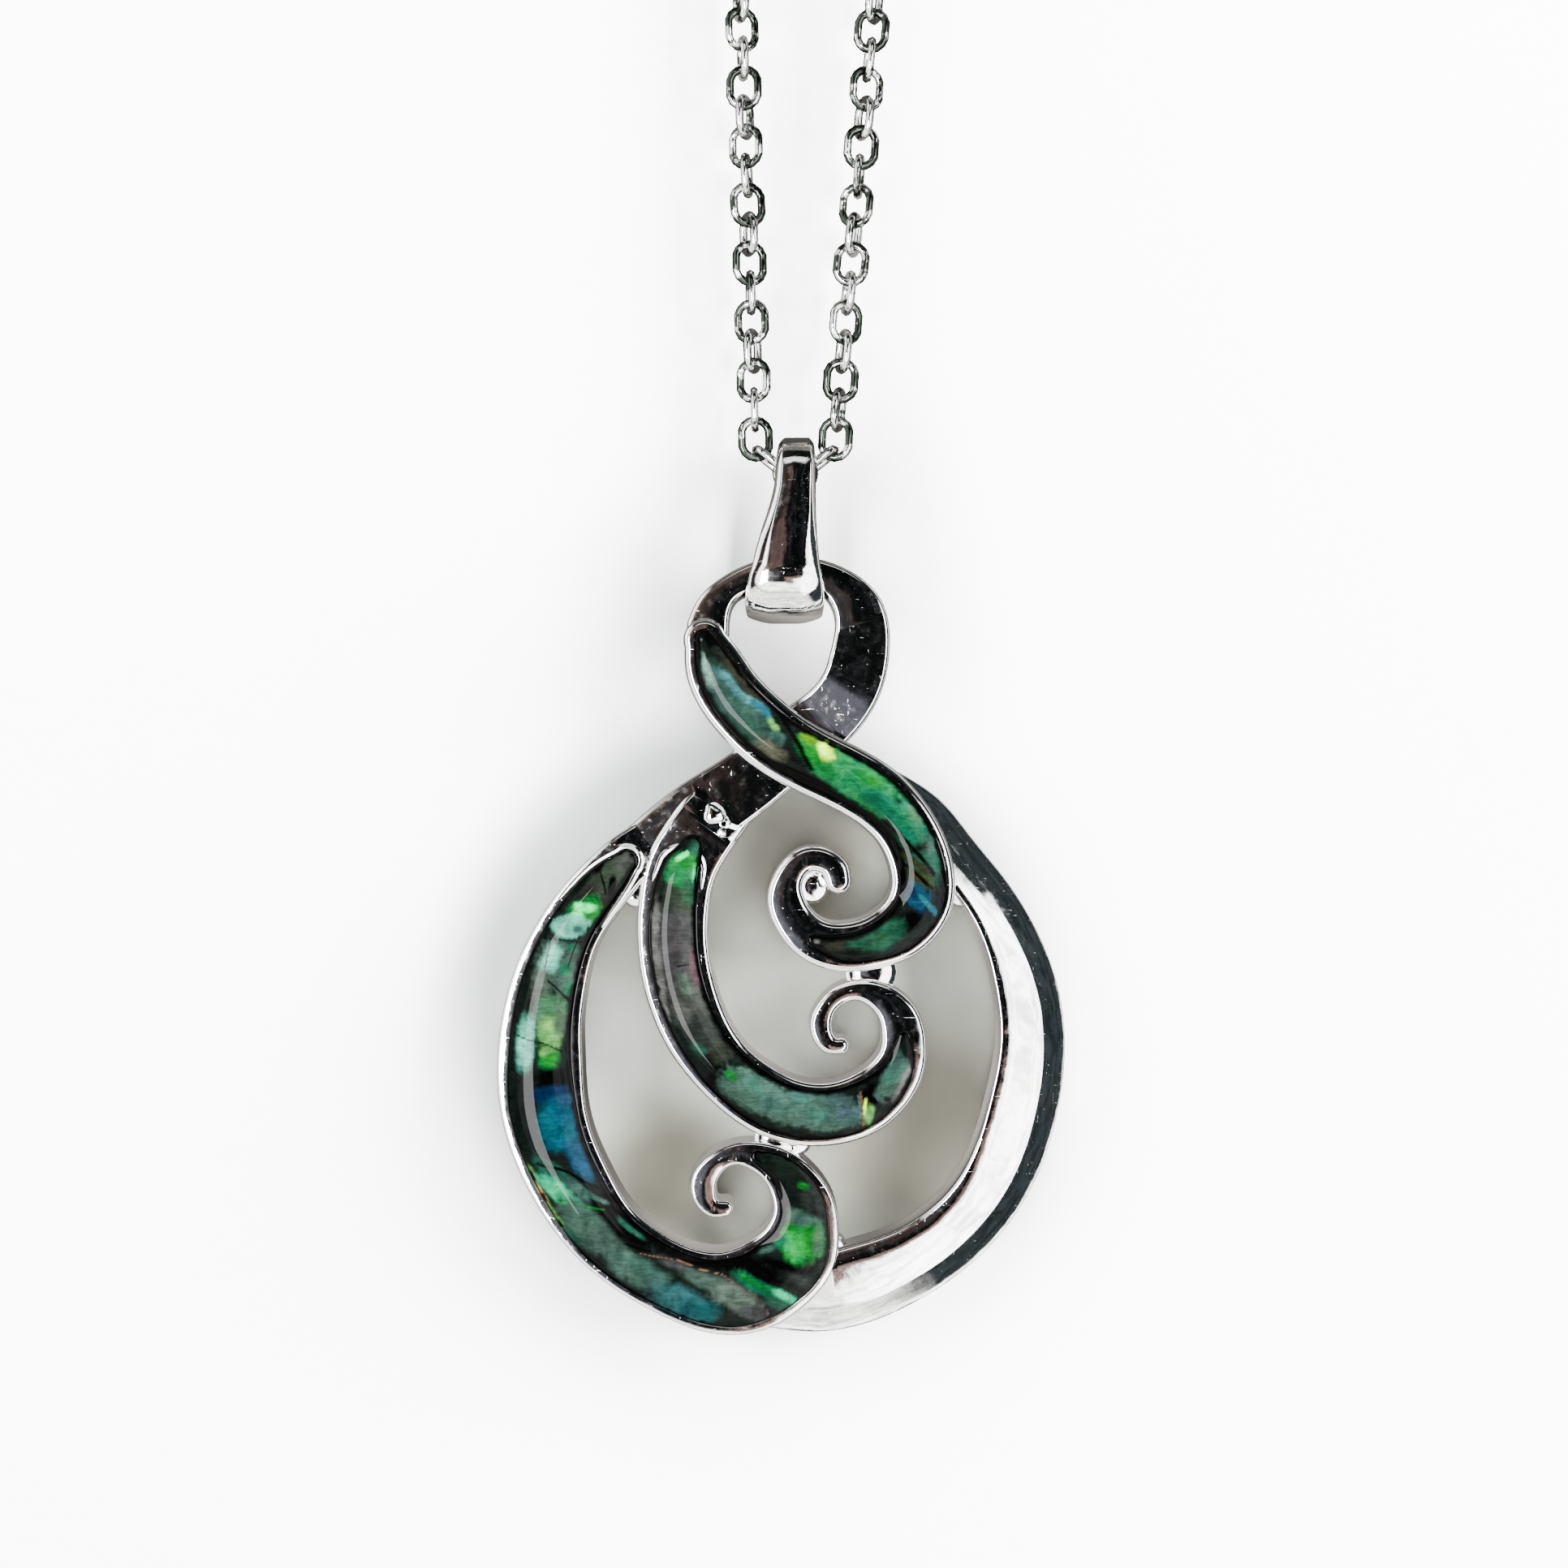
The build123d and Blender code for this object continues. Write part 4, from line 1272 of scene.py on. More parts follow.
@dataclass
class Bail:
    """The tapered strap bent round the chain and the frame's loop.

    Attributes:
        finish: Its material.
        wall: Thickness of the strap.
        top_bore, loop_bore: Inner radii round the chain and round the frame's loop.
        width: What the rows are shares of.
        top_steps, loop_steps, strap_steps: Sections in the upper bend, the lower bend and each straight.
        brow: Inset and depth of the front's shoulders, as a share of the shoulder and in millimetres.
        shoulders: Shoulder on the left and right as shares of the strap's width, by the share of its height.
        sole: Inset and distance from the inner face of the rounded inner edges.
        rows: Left and right side as shares of the width, by the share of its height from the top.
    """

    finish: bpy.types.Material
    wall: float = 0.68
    top_bore: float = 1.10
    loop_bore: float = 1.7495
    width: float = 3.85
    top_steps: int = 30
    loop_steps: int = 44
    strap_steps: int = 14
    brow: tuple[tuple[float, float], ...] = (
        (0.0, 0.42), (0.04, 0.31), (0.14, 0.245), (0.32, 0.165), (0.55, 0.085), (0.78, 0.030), (1.0, 0.0),
    )
    shoulders: tuple[tuple[float, float, float], ...] = (
        (0.00, 0.17, 0.14), (0.45, 0.19, 0.15), (0.62, 0.25, 0.24), (0.80, 0.29, 0.30), (1.00, 0.32, 0.30),
    )
    sole: tuple[tuple[float, float], ...] = ((0.0, 0.12), (0.012, 0.03), (0.035, 0.0))
    rows: tuple[tuple[float, float, float], ...] = (
        (0.00, -0.20, 0.23), (0.11, -0.24, 0.255), (0.28, -0.275, 0.26), (0.45, -0.385, 0.265),
        (0.62, -0.505, 0.29), (0.79, -0.60, 0.34), (0.93, -0.635, 0.36), (1.00, -0.59, 0.32),
    )

    def path(self) -> tuple[list[np.ndarray], list[np.ndarray]]:
        """Lay the strap's closed path round both bores.

        Returns:
            Points of its outer face and the directions outward there, both in y and z.
        """
        lean = math.acos((self.loop_bore - self.top_bore) / (BAIL_Z - LOOP_Z))
        count = self.top_steps + self.loop_steps
        upper, lower = (-lean, lean, self.top_steps), (lean, 2 * math.pi - lean, self.loop_steps)
        turns = np.concatenate([np.linspace(*upper), np.linspace(*lower)])
        centres = np.repeat([BAIL_Z, LOOP_Z], [self.top_steps, self.loop_steps])
        bores = np.repeat([self.top_bore, self.loop_bore], [self.top_steps, self.loop_steps])
        radii = bores + self.wall
        normal = np.column_stack([np.sin(turns), np.cos(turns)])
        outer = np.column_stack([radii * normal[:, 0], centres + radii * normal[:, 1]])
        places, ways = [], []
        for i in range(count):
            after = (i + 1) % count
            steps = self.strap_steps if i in (self.top_steps - 1, count - 1) else 1
            for k in range(steps):
                places.append(outer[i] + (outer[after] - outer[i]) * k / steps)
                ways.append(normal[i])
        return places, ways

    def build(self) -> bpy.types.Object:
        """Sweep the strap's section round its path.

        Returns:
            The piece that stands for the bail.
        """
        top = BAIL_Z + self.top_bore + self.wall
        height = top - (LOOP_Z - self.loop_bore - self.wall)
        table, brim = np.array(self.rows), np.array(self.shoulders)
        sole = [(inset, self.wall - off) for inset, off in self.sole]
        # Side, inset, depth, and the column of shoulders that scales the inset, if any
        section = [(-1, inset, depth, 1) for inset, depth in self.brow]
        section += [(1, inset, depth, 2) for inset, depth in self.brow[::-1]]
        section += [(1, inset, depth, 0) for inset, depth in sole]
        section += [(-1, inset, depth, 0) for inset, depth in sole[::-1]]
        points = []
        places, ways = self.path()
        for place, way in zip(places, ways):
            for side, inset, depth, column in section:
                at = place - way * depth
                share = np.array([(top - at[1]) / height])
                low, high = spline(table[:, 0], table[:, 1:], np.clip(share, 0, 1))[0] * self.width
                if column:
                    inset *= float(np.interp(share[0], brim[:, 0], brim[:, column]))
                x = low + inset * (high - low) if side < 0 else high - inset * (high - low)
                points.append((BAIL_X + x, at[0], at[1]))
        count, size = len(places), len(section)
        faces = []
        for i in range(count):
            faces += between(i * size, (i + 1) % count * size, size)
        piece = new_piece("bail_strap", np.array(points), faces, 40.0)
        piece.data.materials.append(self.finish)
        return piece


@dataclass
class CableChain:
    """Cable chain whose links are laid by Geometry Nodes.

    Attributes:
        finish: Its material.
        wire: Wire diameter of the source, which sets how far apart the links are.
        shown_wire: Wire diameter that the links are made with.
        width, length: Outside size of a link.
        slack: Play between two links.
        sway: Largest turn of a link about its strand, in radians.
        sway_turn, sway_start: Step and start of the wave that this turn follows, in radians.
        sway_free: Links from the bail until that turn is at its largest.
        jitter: Largest stray turn about each axis, in radians.
        each_side: Visible links on each side of the bail's link.
        first_turn: Rise of the first link beside the bail's, in degrees.
        leans: How far the left and the right strand lean outward, in degrees.
        end_gap: Gap at the ends of the visible stretch and at the clasp.
        route: Control points of the hidden stretch, x and z, over the hook.
        clasp_drop, clasp_length: Where the clasp hangs in the right strand, and its length.
        spare: Room left at the end of a hidden run.
        chord: Half of the length over which the route's heading is read.
    """

    finish: bpy.types.Material
    wire: float = 0.31
    shown_wire: float = 0.42
    width: float = 1.72
    length: float = 2.2
    slack: float = 0.13
    sway: float = 0.40
    sway_turn: float = 0.83
    sway_start: float = 0.6
    sway_free: int = 3
    jitter: float = 0.03
    each_side: int = 18
    first_turn: float = 40.0
    leans: tuple[float, float] = (1.9, 5.05)
    end_gap: float = 0.15
    route: tuple[tuple[float, float], ...] = ((-14.3, -7.65), (-5.7, 1.05), (6.5, 0.65), (14.6, -8.45))
    clasp_drop: float = 20.0
    clasp_length: float = 9.0
    spare: float = 0.1
    chord: float = 0.4

    @property
    def pitch(self) -> float:
        """Distance between the middles of two taut links."""
        return self.length - 2 * self.wire - self.slack

    def tree(self) -> bpy.types.NodeTree:
        """Build the Geometry Nodes that put one oval link on each point, by its stored turn.

        Returns:
            The node group, with its sizes as inputs.
        """
        tree = bpy.data.node_groups.new("cable_links", "GeometryNodeTree")
        face = tree.interface
        face.new_socket("Places", in_out="INPUT", socket_type="NodeSocketGeometry")
        for name, kind, value in (
            ("Wire", "Float", self.shown_wire * MM), ("Bend", "Float", (self.width - self.wire) / 2 * MM),
            ("Reach", "Float", (self.length - self.width) / 2 * MM), ("Ring Sides", "Int", 14),
            ("Wire Sides", "Int", 6), ("Seed", "Int", 4),
        ):
            face.new_socket(name, in_out="INPUT", socket_type=f"NodeSocket{kind}").default_value = value
        face.new_socket("Finish", in_out="INPUT", socket_type="NodeSocketMaterial")
        face.new_socket("Chain", in_out="OUTPUT", socket_type="NodeSocketGeometry")
        n = Nodes(tree)
        source = n.add("NodeGroupInput").outputs
        size = {"Resolution": source["Ring Sides"], "Radius": source["Bend"]}
        ring = n.add("GeometryNodeCurvePrimitiveCircle", size)
        parts = n.add("ShaderNodeSeparateXYZ", {0: n.add("GeometryNodeInputPosition").outputs[0]})
        shift = n.math("MULTIPLY", n.math("SIGN", parts.outputs[0]), source["Reach"])
        offset = n.add("ShaderNodeCombineXYZ", {0: shift})
        oval = n.add("GeometryNodeSetPosition", {"Geometry": ring.outputs["Curve"], "Offset": offset.outputs[0]})
        size = {"Resolution": source["Wire Sides"], "Radius": n.math("MULTIPLY", source["Wire"], 0.5)}
        section = n.add("GeometryNodeCurvePrimitiveCircle", size)
        sweep = {"Curve": oval.outputs[0], "Profile Curve": section.outputs["Curve"]}
        link = n.add("GeometryNodeCurveToMesh", sweep)
        round_off = n.add("GeometryNodeSetShadeSmooth", {"Geometry": link.outputs[0]})
        turn = n.add("GeometryNodeInputNamedAttribute", {"Name": "turn"}, data_type="FLOAT_VECTOR")
        stray = n.add("FunctionNodeRandomValue", {"Seed": source["Seed"]}, data_type="FLOAT_VECTOR")
        stray.inputs["Min"].default_value = (-self.jitter,) * 3
        stray.inputs["Max"].default_value = (self.jitter,) * 3
        turned = n.add("ShaderNodeVectorMath", {0: turn.outputs[0], 1: stray.outputs[0]}, operation="ADD")
        way = n.add("FunctionNodeEulerToRotation", {0: turned.outputs[0]})
        links = {"Points": source["Places"], "Instance": round_off.outputs[0], "Rotation": way.outputs[0]}
        put = n.add("GeometryNodeInstanceOnPoints", links)
        real = n.add("GeometryNodeRealizeInstances", {0: put.outputs[0]})
        dressed = n.add("GeometryNodeSetMaterial", {"Geometry": real.outputs[0], "Material": source["Finish"]})
        n.add("NodeGroupOutput", {0: dressed.outputs[0]})
        return tree

    def laid(
        self, name: str, places: Sequence[tuple[float, float, float, Side]], tree: bpy.types.NodeTree
    ) -> bpy.types.Object:
        """Lay links at places.

        Args:
            name: Name of the piece.
            places: x and z in millimetres, heading in radians and side of each link.
            tree: The Geometry Nodes that make them.

        Returns:
            One plain mesh with all its links.
        """
        mesh = bpy.data.meshes.new(name)
        mesh.from_pydata([(x * MM, 0, z * MM) for x, z, _, _ in places], [], [])
        turns = []
        for number, (_, _, heading, side) in enumerate(places):
            along = Vector((math.cos(heading), 0, math.sin(heading)))
            across = Vector((0, -1, 0)) if side is Side.UPRIGHT else Vector((-along.z, 0, along.x))
            free = min(number % self.each_side, self.sway_free) / self.sway_free
            swing = self.sway * free * math.sin(self.sway_turn * number + self.sway_start)
            across.rotate(Matrix.Rotation(swing, 3, along))
            turns += list(Matrix((along, across.cross(along), across)).transposed().to_euler())
        mesh.attributes.new("turn", "FLOAT_VECTOR", "POINT").data.foreach_set("vector", turns)
        # Turned links are marked bright, so the finish keeps its painted dark off them and they show as painted
        # highlights.
        bright = [1.0 if side is Side.TURNED else 0.0 for _, _, _, side in places]
        mesh.attributes.new("bright", "FLOAT", "POINT").data.foreach_set("value", bright)
        piece = linked(name, mesh)
        layer = piece.modifiers.new("links", "NODES")
        layer.node_group = tree
        for item in tree.interface.items_tree:
            if item.in_out == "INPUT" and item.name == "Finish":
                layer[item.identifier] = self.finish
        return applied(piece)

    def front_places(self) -> tuple[list[tuple[float, float, float, Side]], list[tuple[float, float]]]:
        """Place the visible links by the rule of the source.

        Returns:
            x, z, heading and side of each link, and where each strand ends.
        """
        places = [(BAIL_X, BAIL_Z, 0.0, Side.UPRIGHT)]
        ends = []
        half, overlap = (self.length - self.wire) / 2, self.wire + self.slack
        away = self.length / 2 + self.end_gap
        for side, lean in zip((-1, 1), self.leans):
            x, z, turned = 0.0, 0.0, 0.0
            for number in range(1, self.each_side + 1):
                heading = math.radians(self.first_turn if number == 1 else 90 - lean)
                held = heading if number % 2 == 0 else turned
                x += side * (half * (math.cos(turned) + math.cos(heading)) - overlap * math.cos(held))
                z += half * (math.sin(turned) + math.sin(heading)) - overlap * math.sin(held)
                turned = heading
                facing = heading if side > 0 else math.pi - heading
                places.append((BAIL_X + x, BAIL_Z + z, facing, Side.of(number)))
            ends.append((BAIL_X + x + side * away * math.cos(turned), BAIL_Z + z + away * math.sin(turned)))
        return places, ends

    def hidden_places(
        self, ends: Sequence[tuple[float, float]]
    ) -> tuple[list[tuple[float, float, float, Side]], tuple[np.ndarray, np.ndarray]]:
        """Place the links round the hook and down the right strand.

        Args:
            ends: Where the two visible strands end.

        Returns:
            x, z, heading and side of each link, and the clasp's two ends.
        """
        corner, right_end = np.array(self.route[-1]), np.array(ends[1])
        fall = (right_end - corner) / np.linalg.norm(right_end - corner)
        clasp_top = corner + fall * self.clasp_drop
        clasp_foot = clasp_top + fall * (self.clasp_length + 2 * self.end_gap)
        path = self.curve_points([ends[0], *self.route, tuple(clasp_top)])
        reach = np.concatenate([[0], np.cumsum(np.linalg.norm(np.diff(path, axis=0), axis=1))])
        first = self.pitch - self.length / 2 - self.end_gap
        runs = (reach[-1], np.linalg.norm(clasp_foot - right_end))
        over, down = (int((run - first - self.length / 2 - self.spare) / self.pitch) + 1 for run in runs)
        places = []
        for k in range(over):
            at = first + k * self.pitch
            middle, ahead, behind = (
                [float(np.interp(where, reach, path[:, i])) for i in (0, 1)]
                for where in (at, at + self.chord, at - self.chord)
            )
            heading = math.atan2(ahead[1] - behind[1], ahead[0] - behind[0])
            places.append((*middle, heading, Side.of(k + 1)))
        for k in range(down):
            at = right_end - fall * (first + k * self.pitch)
            places.append((float(at[0]), float(at[1]), math.atan2(-fall[1], -fall[0]), Side.of(k + 1)))
        return places, (clasp_top, clasp_foot)

    @staticmethod
    def curve_points(controls: Sequence[tuple[float, float]]) -> np.ndarray:
        """Read closely spaced points from one smooth curve.

        Args:
            controls: The curve's control points, x and z.

        Returns:
            x and z of the points.
        """
        line = bpy.data.curves.new("chain_route", "CURVE")
        line.dimensions = "3D"
        run = line.splines.new("NURBS")
        run.points.add(len(controls) - 1)
        for point, (x, z) in zip(run.points, controls):
            point.co = (x, 0, z, 1)
        run.order_u, run.use_endpoint_u, run.resolution_u = 3, True, 64
        holder = linked("chain_route", line)
        bpy.context.view_layer.update()
        mesh = bpy.data.meshes.new_from_object(holder)
        points = np.array([(v.co.x, v.co.z) for v in mesh.vertices])
        bpy.data.objects.remove(holder)
        bpy.data.curves.remove(line)
        bpy.data.meshes.remove(mesh)
        return points

    def build(self) -> tuple[bpy.types.Object, bpy.types.Object, tuple[np.ndarray, np.ndarray]]:
        """Lay both stretches of the chain.

        Returns:
            The visible stretch, the hidden stretch and the clasp's two ends.
        """
        tree = self.tree()
        front, ends = self.front_places()
        back, clasp = self.hidden_places(ends)
        LOG.info("links: %d in front, %d behind", len(front), len(back))
        return self.laid("cable_front", front, tree), self.laid("cable_back", back, tree), clasp


@dataclass
class Clasp:
    """The plain clasp in the hidden stretch: a rounded slug with a slot and an eye at each end.

    Attributes:
        finish: Its material.
        top, foot: Its two ends, x and z.
        width, depth: Size of the slug.
        rounding: How far its edges are drawn in.
        slot: Width of the slot.
        slot_edge: How far the slot widens at its mouths, and how deep.
        eye_room: What each eye takes of half the length.
        eye_out: Distance of an eye's middle beyond the slug.
        eye_size: Radius of an eye and of its wire.
        eye_points: Sections round an eye.
    """

    finish: bpy.types.Material
    top: np.ndarray
    foot: np.ndarray
    width: float = 3.2
    depth: float = 2.0
    rounding: float = 0.45
    slot: float = 1.1
    slot_edge: tuple[float, float] = (0.18, 0.25)
    eye_room: float = 1.25
    eye_out: float = 0.55
    eye_size: tuple[float, float] = (0.78, 0.19)
    eye_points: int = 20

    def __post_init__(self) -> None:
        """Work out its middle, its direction and the reach of the slug."""
        length = np.linalg.norm(self.foot - self.top)
        self.run = (self.foot - self.top) / length
        self.side = np.array([-self.run[1], self.run[0]])
        self.middle = (self.top + self.foot) / 2
        self.reach = length / 2 - self.eye_room

    def ring(self, half_width: float, height: float) -> list[tuple[float, float, float]]:
        """Corners of a long ring round the clasp's middle.

        Args:
            half_width: Radius of its round ends.
            height: Its height to the front.

        Returns:
            The corners.
        """
        points = []
        straight = max(self.reach - self.width / 2, 0.1)
        for end in (1, -1):
            for angle in (math.radians(turn) for turn in np.linspace(-90, 90, 13)):
                along, over = straight + half_width * math.cos(angle), half_width * math.sin(angle)
                at = self.middle + self.run * end * along + self.side * end * over
                points.append((at[0], -height, at[1]))
        return points

    def build(self) -> bpy.types.Object:
        """Build the slug and its eyes.

        Returns:
            The piece that stands for the clasp.
        """
        half, bore, front = self.width / 2, self.slot / 2, self.depth / 2
        wide, deep = self.slot_edge
        rings = []
        for turn in np.linspace(-90, 90, 9):
            angle = math.radians(turn)
            rings.append(self.ring(half - self.rounding * (1 - math.cos(angle)), front * math.sin(angle)))
        mouth = bore + wide
        for radius, height in ((mouth, front), (bore, front - deep), (bore, deep - front), (mouth, -front)):
            rings.append(self.ring(radius, height))
        size = len(rings[0])
        faces = []
        for k in range(len(rings)):
            faces += between(k * size, (k + 1) % len(rings) * size, size)
        slug = new_piece("clasp_slug", np.array(rings).reshape(-1, 3), faces, 40.0)
        slug.data.materials.append(self.finish)
        radius, wire = self.eye_size
        turns = np.linspace(0, 2 * math.pi, self.eye_points, endpoint=False)
        for number, end in enumerate((1, -1)):
            eye = self.middle + self.run * end * (self.reach + self.eye_out)
            out = radius * np.cos(turns)
            path = np.column_stack([eye[0] + self.run[0] * out, radius * np.sin(turns), eye[1] + self.run[1] * out])
            loop = tube(f"clasp_eye_{number}", path, np.full(self.eye_points, wire), closed=True)
            loop.data.materials.append(self.finish)
            loop.parent = slug
        return slug


@dataclass(frozen=True)
class Zone:
    """A card that the silver mirrors.

    Attributes:
        heading: Direction of its middle round the line to the camera, x and z.
        sector: Cosines from that heading at which it fades in.
        rise, fall: Degrees from the line to the camera where it starts and ends.
        tone: Its light.
    """

    heading: tuple[float, float]
    sector: tuple[float, float]
    rise: tuple[float, float]
    fall: tuple[float, float]
    tone: tuple[float, float, float]


# Each zone lies over those before it
ZONES = (
    Zone((0.0, 1.0), (-1.2, -1.1), (72, 92), (180, 179), (1.1, 1.12, 1.14)),
    Zone((0.0, 1.0), (0.55, 0.85), (70, 80), (180, 179), (0.24, 0.235, 0.22)),
    Zone((0.0, 1.0), (0.80, 0.92), (29, 35), (50, 44), (1.9, 1.9, 1.88)),
    Zone((-0.85, -0.53), (0.70, 0.90), (5, 10), (30, 24), (0.12, 0.12, 0.145)),
    Zone((-1.0, 0.0), (0.60, 0.85), (13, 18), (31, 28), (0.34, 0.32, 0.29)),
    Zone((-1.0, 0.0), (0.60, 0.80), (30, 34), (46, 41), (4.6, 4.6, 4.5)),
    Zone((-1.0, 0.0), (0.60, 0.80), (57, 66), (180, 179), (4.4, 4.4, 4.35)),
    Zone((-0.75, -0.66), (0.88, 0.95), (30, 34), (42, 38), (3.2, 3.2, 3.1)),
    Zone((0.0, -1.0), (0.45, 0.70), (42, 50), (180, 179), (2.6, 2.6, 2.5)),
    Zone((0.0, -1.0), (0.35, 0.65), (78, 88), (180, 179), (5.2, 5.2, 5.1)),
    Zone((0.0, -1.0), (0.35, 0.60), (20, 27), (46, 42), (3.9, 3.86, 3.7)),
    Zone((0.45, -0.89), (0.86, 0.94), (8, 11), (27, 22), (0.38, 0.25, 0.215)),
    Zone((-0.87, 0.50), (0.50, 0.72), (11, 14), (27, 22), (0.21, 0.135, 0.115)),
    Zone((0.92, -0.39), (0.52, 0.66), (13, 19), (56, 52), (8.0, 8.0, 7.9)),
    Zone((1.0, 0.05), (0.50, 0.75), (83, 88), (180, 179), (5.2, 5.2, 5.1)),
    Zone((0.999, -0.044), (0.36, 0.54), (50, 54), (88, 84), (0.042, 0.054, 0.058)),
)


@dataclass(frozen=True)
class Shade:
    """A soft round of painted shade on the paper, or of painted light where its tone is above one.

    Attributes:
        shift: Its middle from the disc's, x and z in millimetres.
        inner, outer: Radii in millimetres at which it is full and has ended.
        tone: What it multiplies the paper by, or None for the cloudy painted light behind the disc.
    """

    shift: tuple[float, float]
    inner: float
    outer: float
    tone: tuple[float, float, float] | None


# Each shade lies over those before it
SHADES = (
    # Painted light: a cloudy tone above one brightens the paper behind the disc's openings.
    Shade((0.0, 0.0), 11.0, 13.6, None),
    Shade((-1.8, 2.0), 12.6, 17.4, (0.30, 0.32, 0.31)),
    Shade((7.5, -4.5), 3.0, 8.0, (0.37, 0.345, 0.310)),
    Shade((-5.5, -6.5), 1.5, 5.5, (0.45, 0.425, 0.375)),
    Shade((1.0, 9.5), 2.0, 5.0, (0.47, 0.445, 0.41)),
    # Painted light: this round brightens the paper in the left opening.
    Shade((-8.8, 1.5), 1.0, 5.0, (1.35, 1.37, 1.38)),
    Shade((-4.6, 22.5), 0.5, 8.5, (0.52, 0.535, 0.53)),
)


@dataclass
class Studio:
    """White paper close behind the pendant, a pale floor below it, soft boxes and the camera.

    Attributes:
        paper_y: Where the paper hangs, in metres.
        hollow: How far the paper gives way round the bail, and how wide and high that hollow is, in metres.
        floor_z: Height of the floor, in metres.
        floor_box: Least and greatest x and y of the floor, in metres.
        overexposure: How much brighter the paper is to the camera, and what it is to the rest.
        target: What the lamps are aimed at.
        eye_place: Where the camera stands, in metres.
        eye_angle: Its angle of view across, in degrees.
        sensor: Width of its sensor, in millimetres.
    """

    paper_y: float = 0.00135
    hollow: tuple[float, float, float] = (0.00175, 0.0050, 0.0065)
    floor_z: float = -0.31
    floor_box: tuple[float, float, float, float] = (-0.5, 0.5, -0.6, 0.4)
    overexposure: tuple[float, float] = (1.45, 0.40)
    target: tuple[float, float, float] = (-0.006, 0, -0.236)
    eye_place: tuple[float, float, float] = (-0.00606, -0.1212, -0.22967)
    eye_angle: float = 35.53
    sensor: float = 36.0

    def build(self) -> None:
        """Put up the stage, the lights, the world and the camera."""
        paper, floor = self.backdrop(), self.ground()
        paper.data.materials.append(self.paper_material("paper_white", (0.86, 0.865, 0.865), True))
        floor.data.materials.append(self.paper_material("floor_pale", (0.80, 0.80, 0.79), False))
        floor.visible_glossy = False
        self.world()
        # Name, azimuth, elevation, distance, size, radiance and whether it is mirrored
        for row in (
            ("strip_left", -24, -5, 0.30, (0.09, 0.15), 70, True),
            ("box_right", 73, 14, 0.36, (0.20, 0.30), 92, False),
            ("box_left", -73, 12, 0.36, (0.20, 0.30), 40, False),
            ("box_top", 0, 73, 0.36, (0.30, 0.18), 34, False),
        ):
            self.lamp(*row)
        self.camera()

    def backdrop(self) -> bpy.types.Object:
        """Make the paper that hangs just behind the pendant and gives way round the bail.

        Returns:
            The paper, sampled closely only where it gives way.
        """
        across = np.concatenate([[-0.22, -0.05, -0.03], np.linspace(-0.018, 0.007, 36), [0.02, 0.05, 0.20]])
        near = np.linspace(-0.233, -0.203, 42)
        down = np.concatenate([[self.floor_z, -0.27, -0.25], near, [-0.18, -0.10, 0.05]])
        x, z = np.meshgrid(across, down, indexing="ij")
        depth, wide, high = self.hollow
        away = ((x - BAIL_X * MM) / wide) ** 2 + ((z - (LOOP_Z + 0.6) * MM) / high) ** 2
        y = self.paper_y + depth * np.exp(-away)
        starts = [i * len(down) for i in range(len(across))]
        faces = [
            (a + j, b + j, b + j + 1, a + j + 1) for a, b in zip(starts, starts[1:]) for j in range(len(down) - 1)
        ]
        mesh = bpy.data.meshes.new("paper")
        mesh.from_pydata(np.stack([x, y, z], axis=-1).reshape(-1, 3).tolist(), [], faces)
        mesh.shade_smooth()
        return linked("paper", mesh)

    def ground(self) -> bpy.types.Object:
        """Make the flat floor.

        Returns:
            The floor.
        """
        left, right, near, far = self.floor_box
        mesh = bpy.data.meshes.new("floor")
        points = [(x, y, self.floor_z) for x, y in ((left, near), (right, near), (right, far), (left, far))]
        mesh.from_pydata(points, [], [(0, 1, 2, 3)])
        return linked("floor", mesh)

    def paper_material(self, name: str, tone: tuple[float, float, float], pendant: bool) -> bpy.types.Material:
        """Make matt paper with a faint fibre, overexposed to the camera.

        Args:
            name: Name of the material.
            tone: Its tone.
            pendant: Whether it hangs behind the pendant, with painted shade and light, mirrored as a glow and clear
                from its back.

        Returns:
            The material.
        """
        made, n = new_material(name)
        made.node_tree.nodes.remove(made.node_tree.nodes["Principled BSDF"])
        where = n.add("ShaderNodeTexCoord").outputs["Object"]
        rays = n.add("ShaderNodeLightPath").outputs
        extra, least = self.overexposure
        level = n.math("ADD", n.math("MULTIPLY", rays["Is Camera Ray"], extra), least)
        share = n.math("MULTIPLY", n.ramp(n.noise(where, 900.0, 4.0), 0.0, 1.0, 1.0, 0.97), level)
        shown = n.mix(1.0, n.grey(share), tone, "MULTIPLY")
        if pendant:
            shown = self.shaded(n, where, shown)
        surface = n.add("ShaderNodeBsdfDiffuse", {"Color": shown}).outputs[0]
        if pendant:
            bright = n.ramp(n.noise(where, 85.0, 1.0), 0.34, 0.66, 0.10, 0.72)
            glow = n.add("ShaderNodeEmission", {"Color": (1.0, 0.94, 0.85, 1.0), "Strength": bright})
            clear = n.add("ShaderNodeBsdfTransparent")
            back = n.add("ShaderNodeNewGeometry").outputs["Backfacing"]
            for share, other in ((rays["Is Glossy Ray"], glow), (back, clear)):
                surface = n.add("ShaderNodeMixShader", {0: share, 1: surface, 2: other.outputs[0]}).outputs[0]
        made.node_tree.links.new(surface, made.node_tree.nodes["Material Output"].inputs["Surface"])
        return made

    @staticmethod
    def shaded(n: Nodes, where: bpy.types.NodeSocket, shown: bpy.types.NodeSocket) -> bpy.types.NodeSocket:
        """Paint the shades, and the rounds of painted light, on the paper.

        Args:
            n: Short hand for the paper's nodes.
            where: The place.
            shown: The paper's colour.

        Returns:
            The shaded colour.
        """
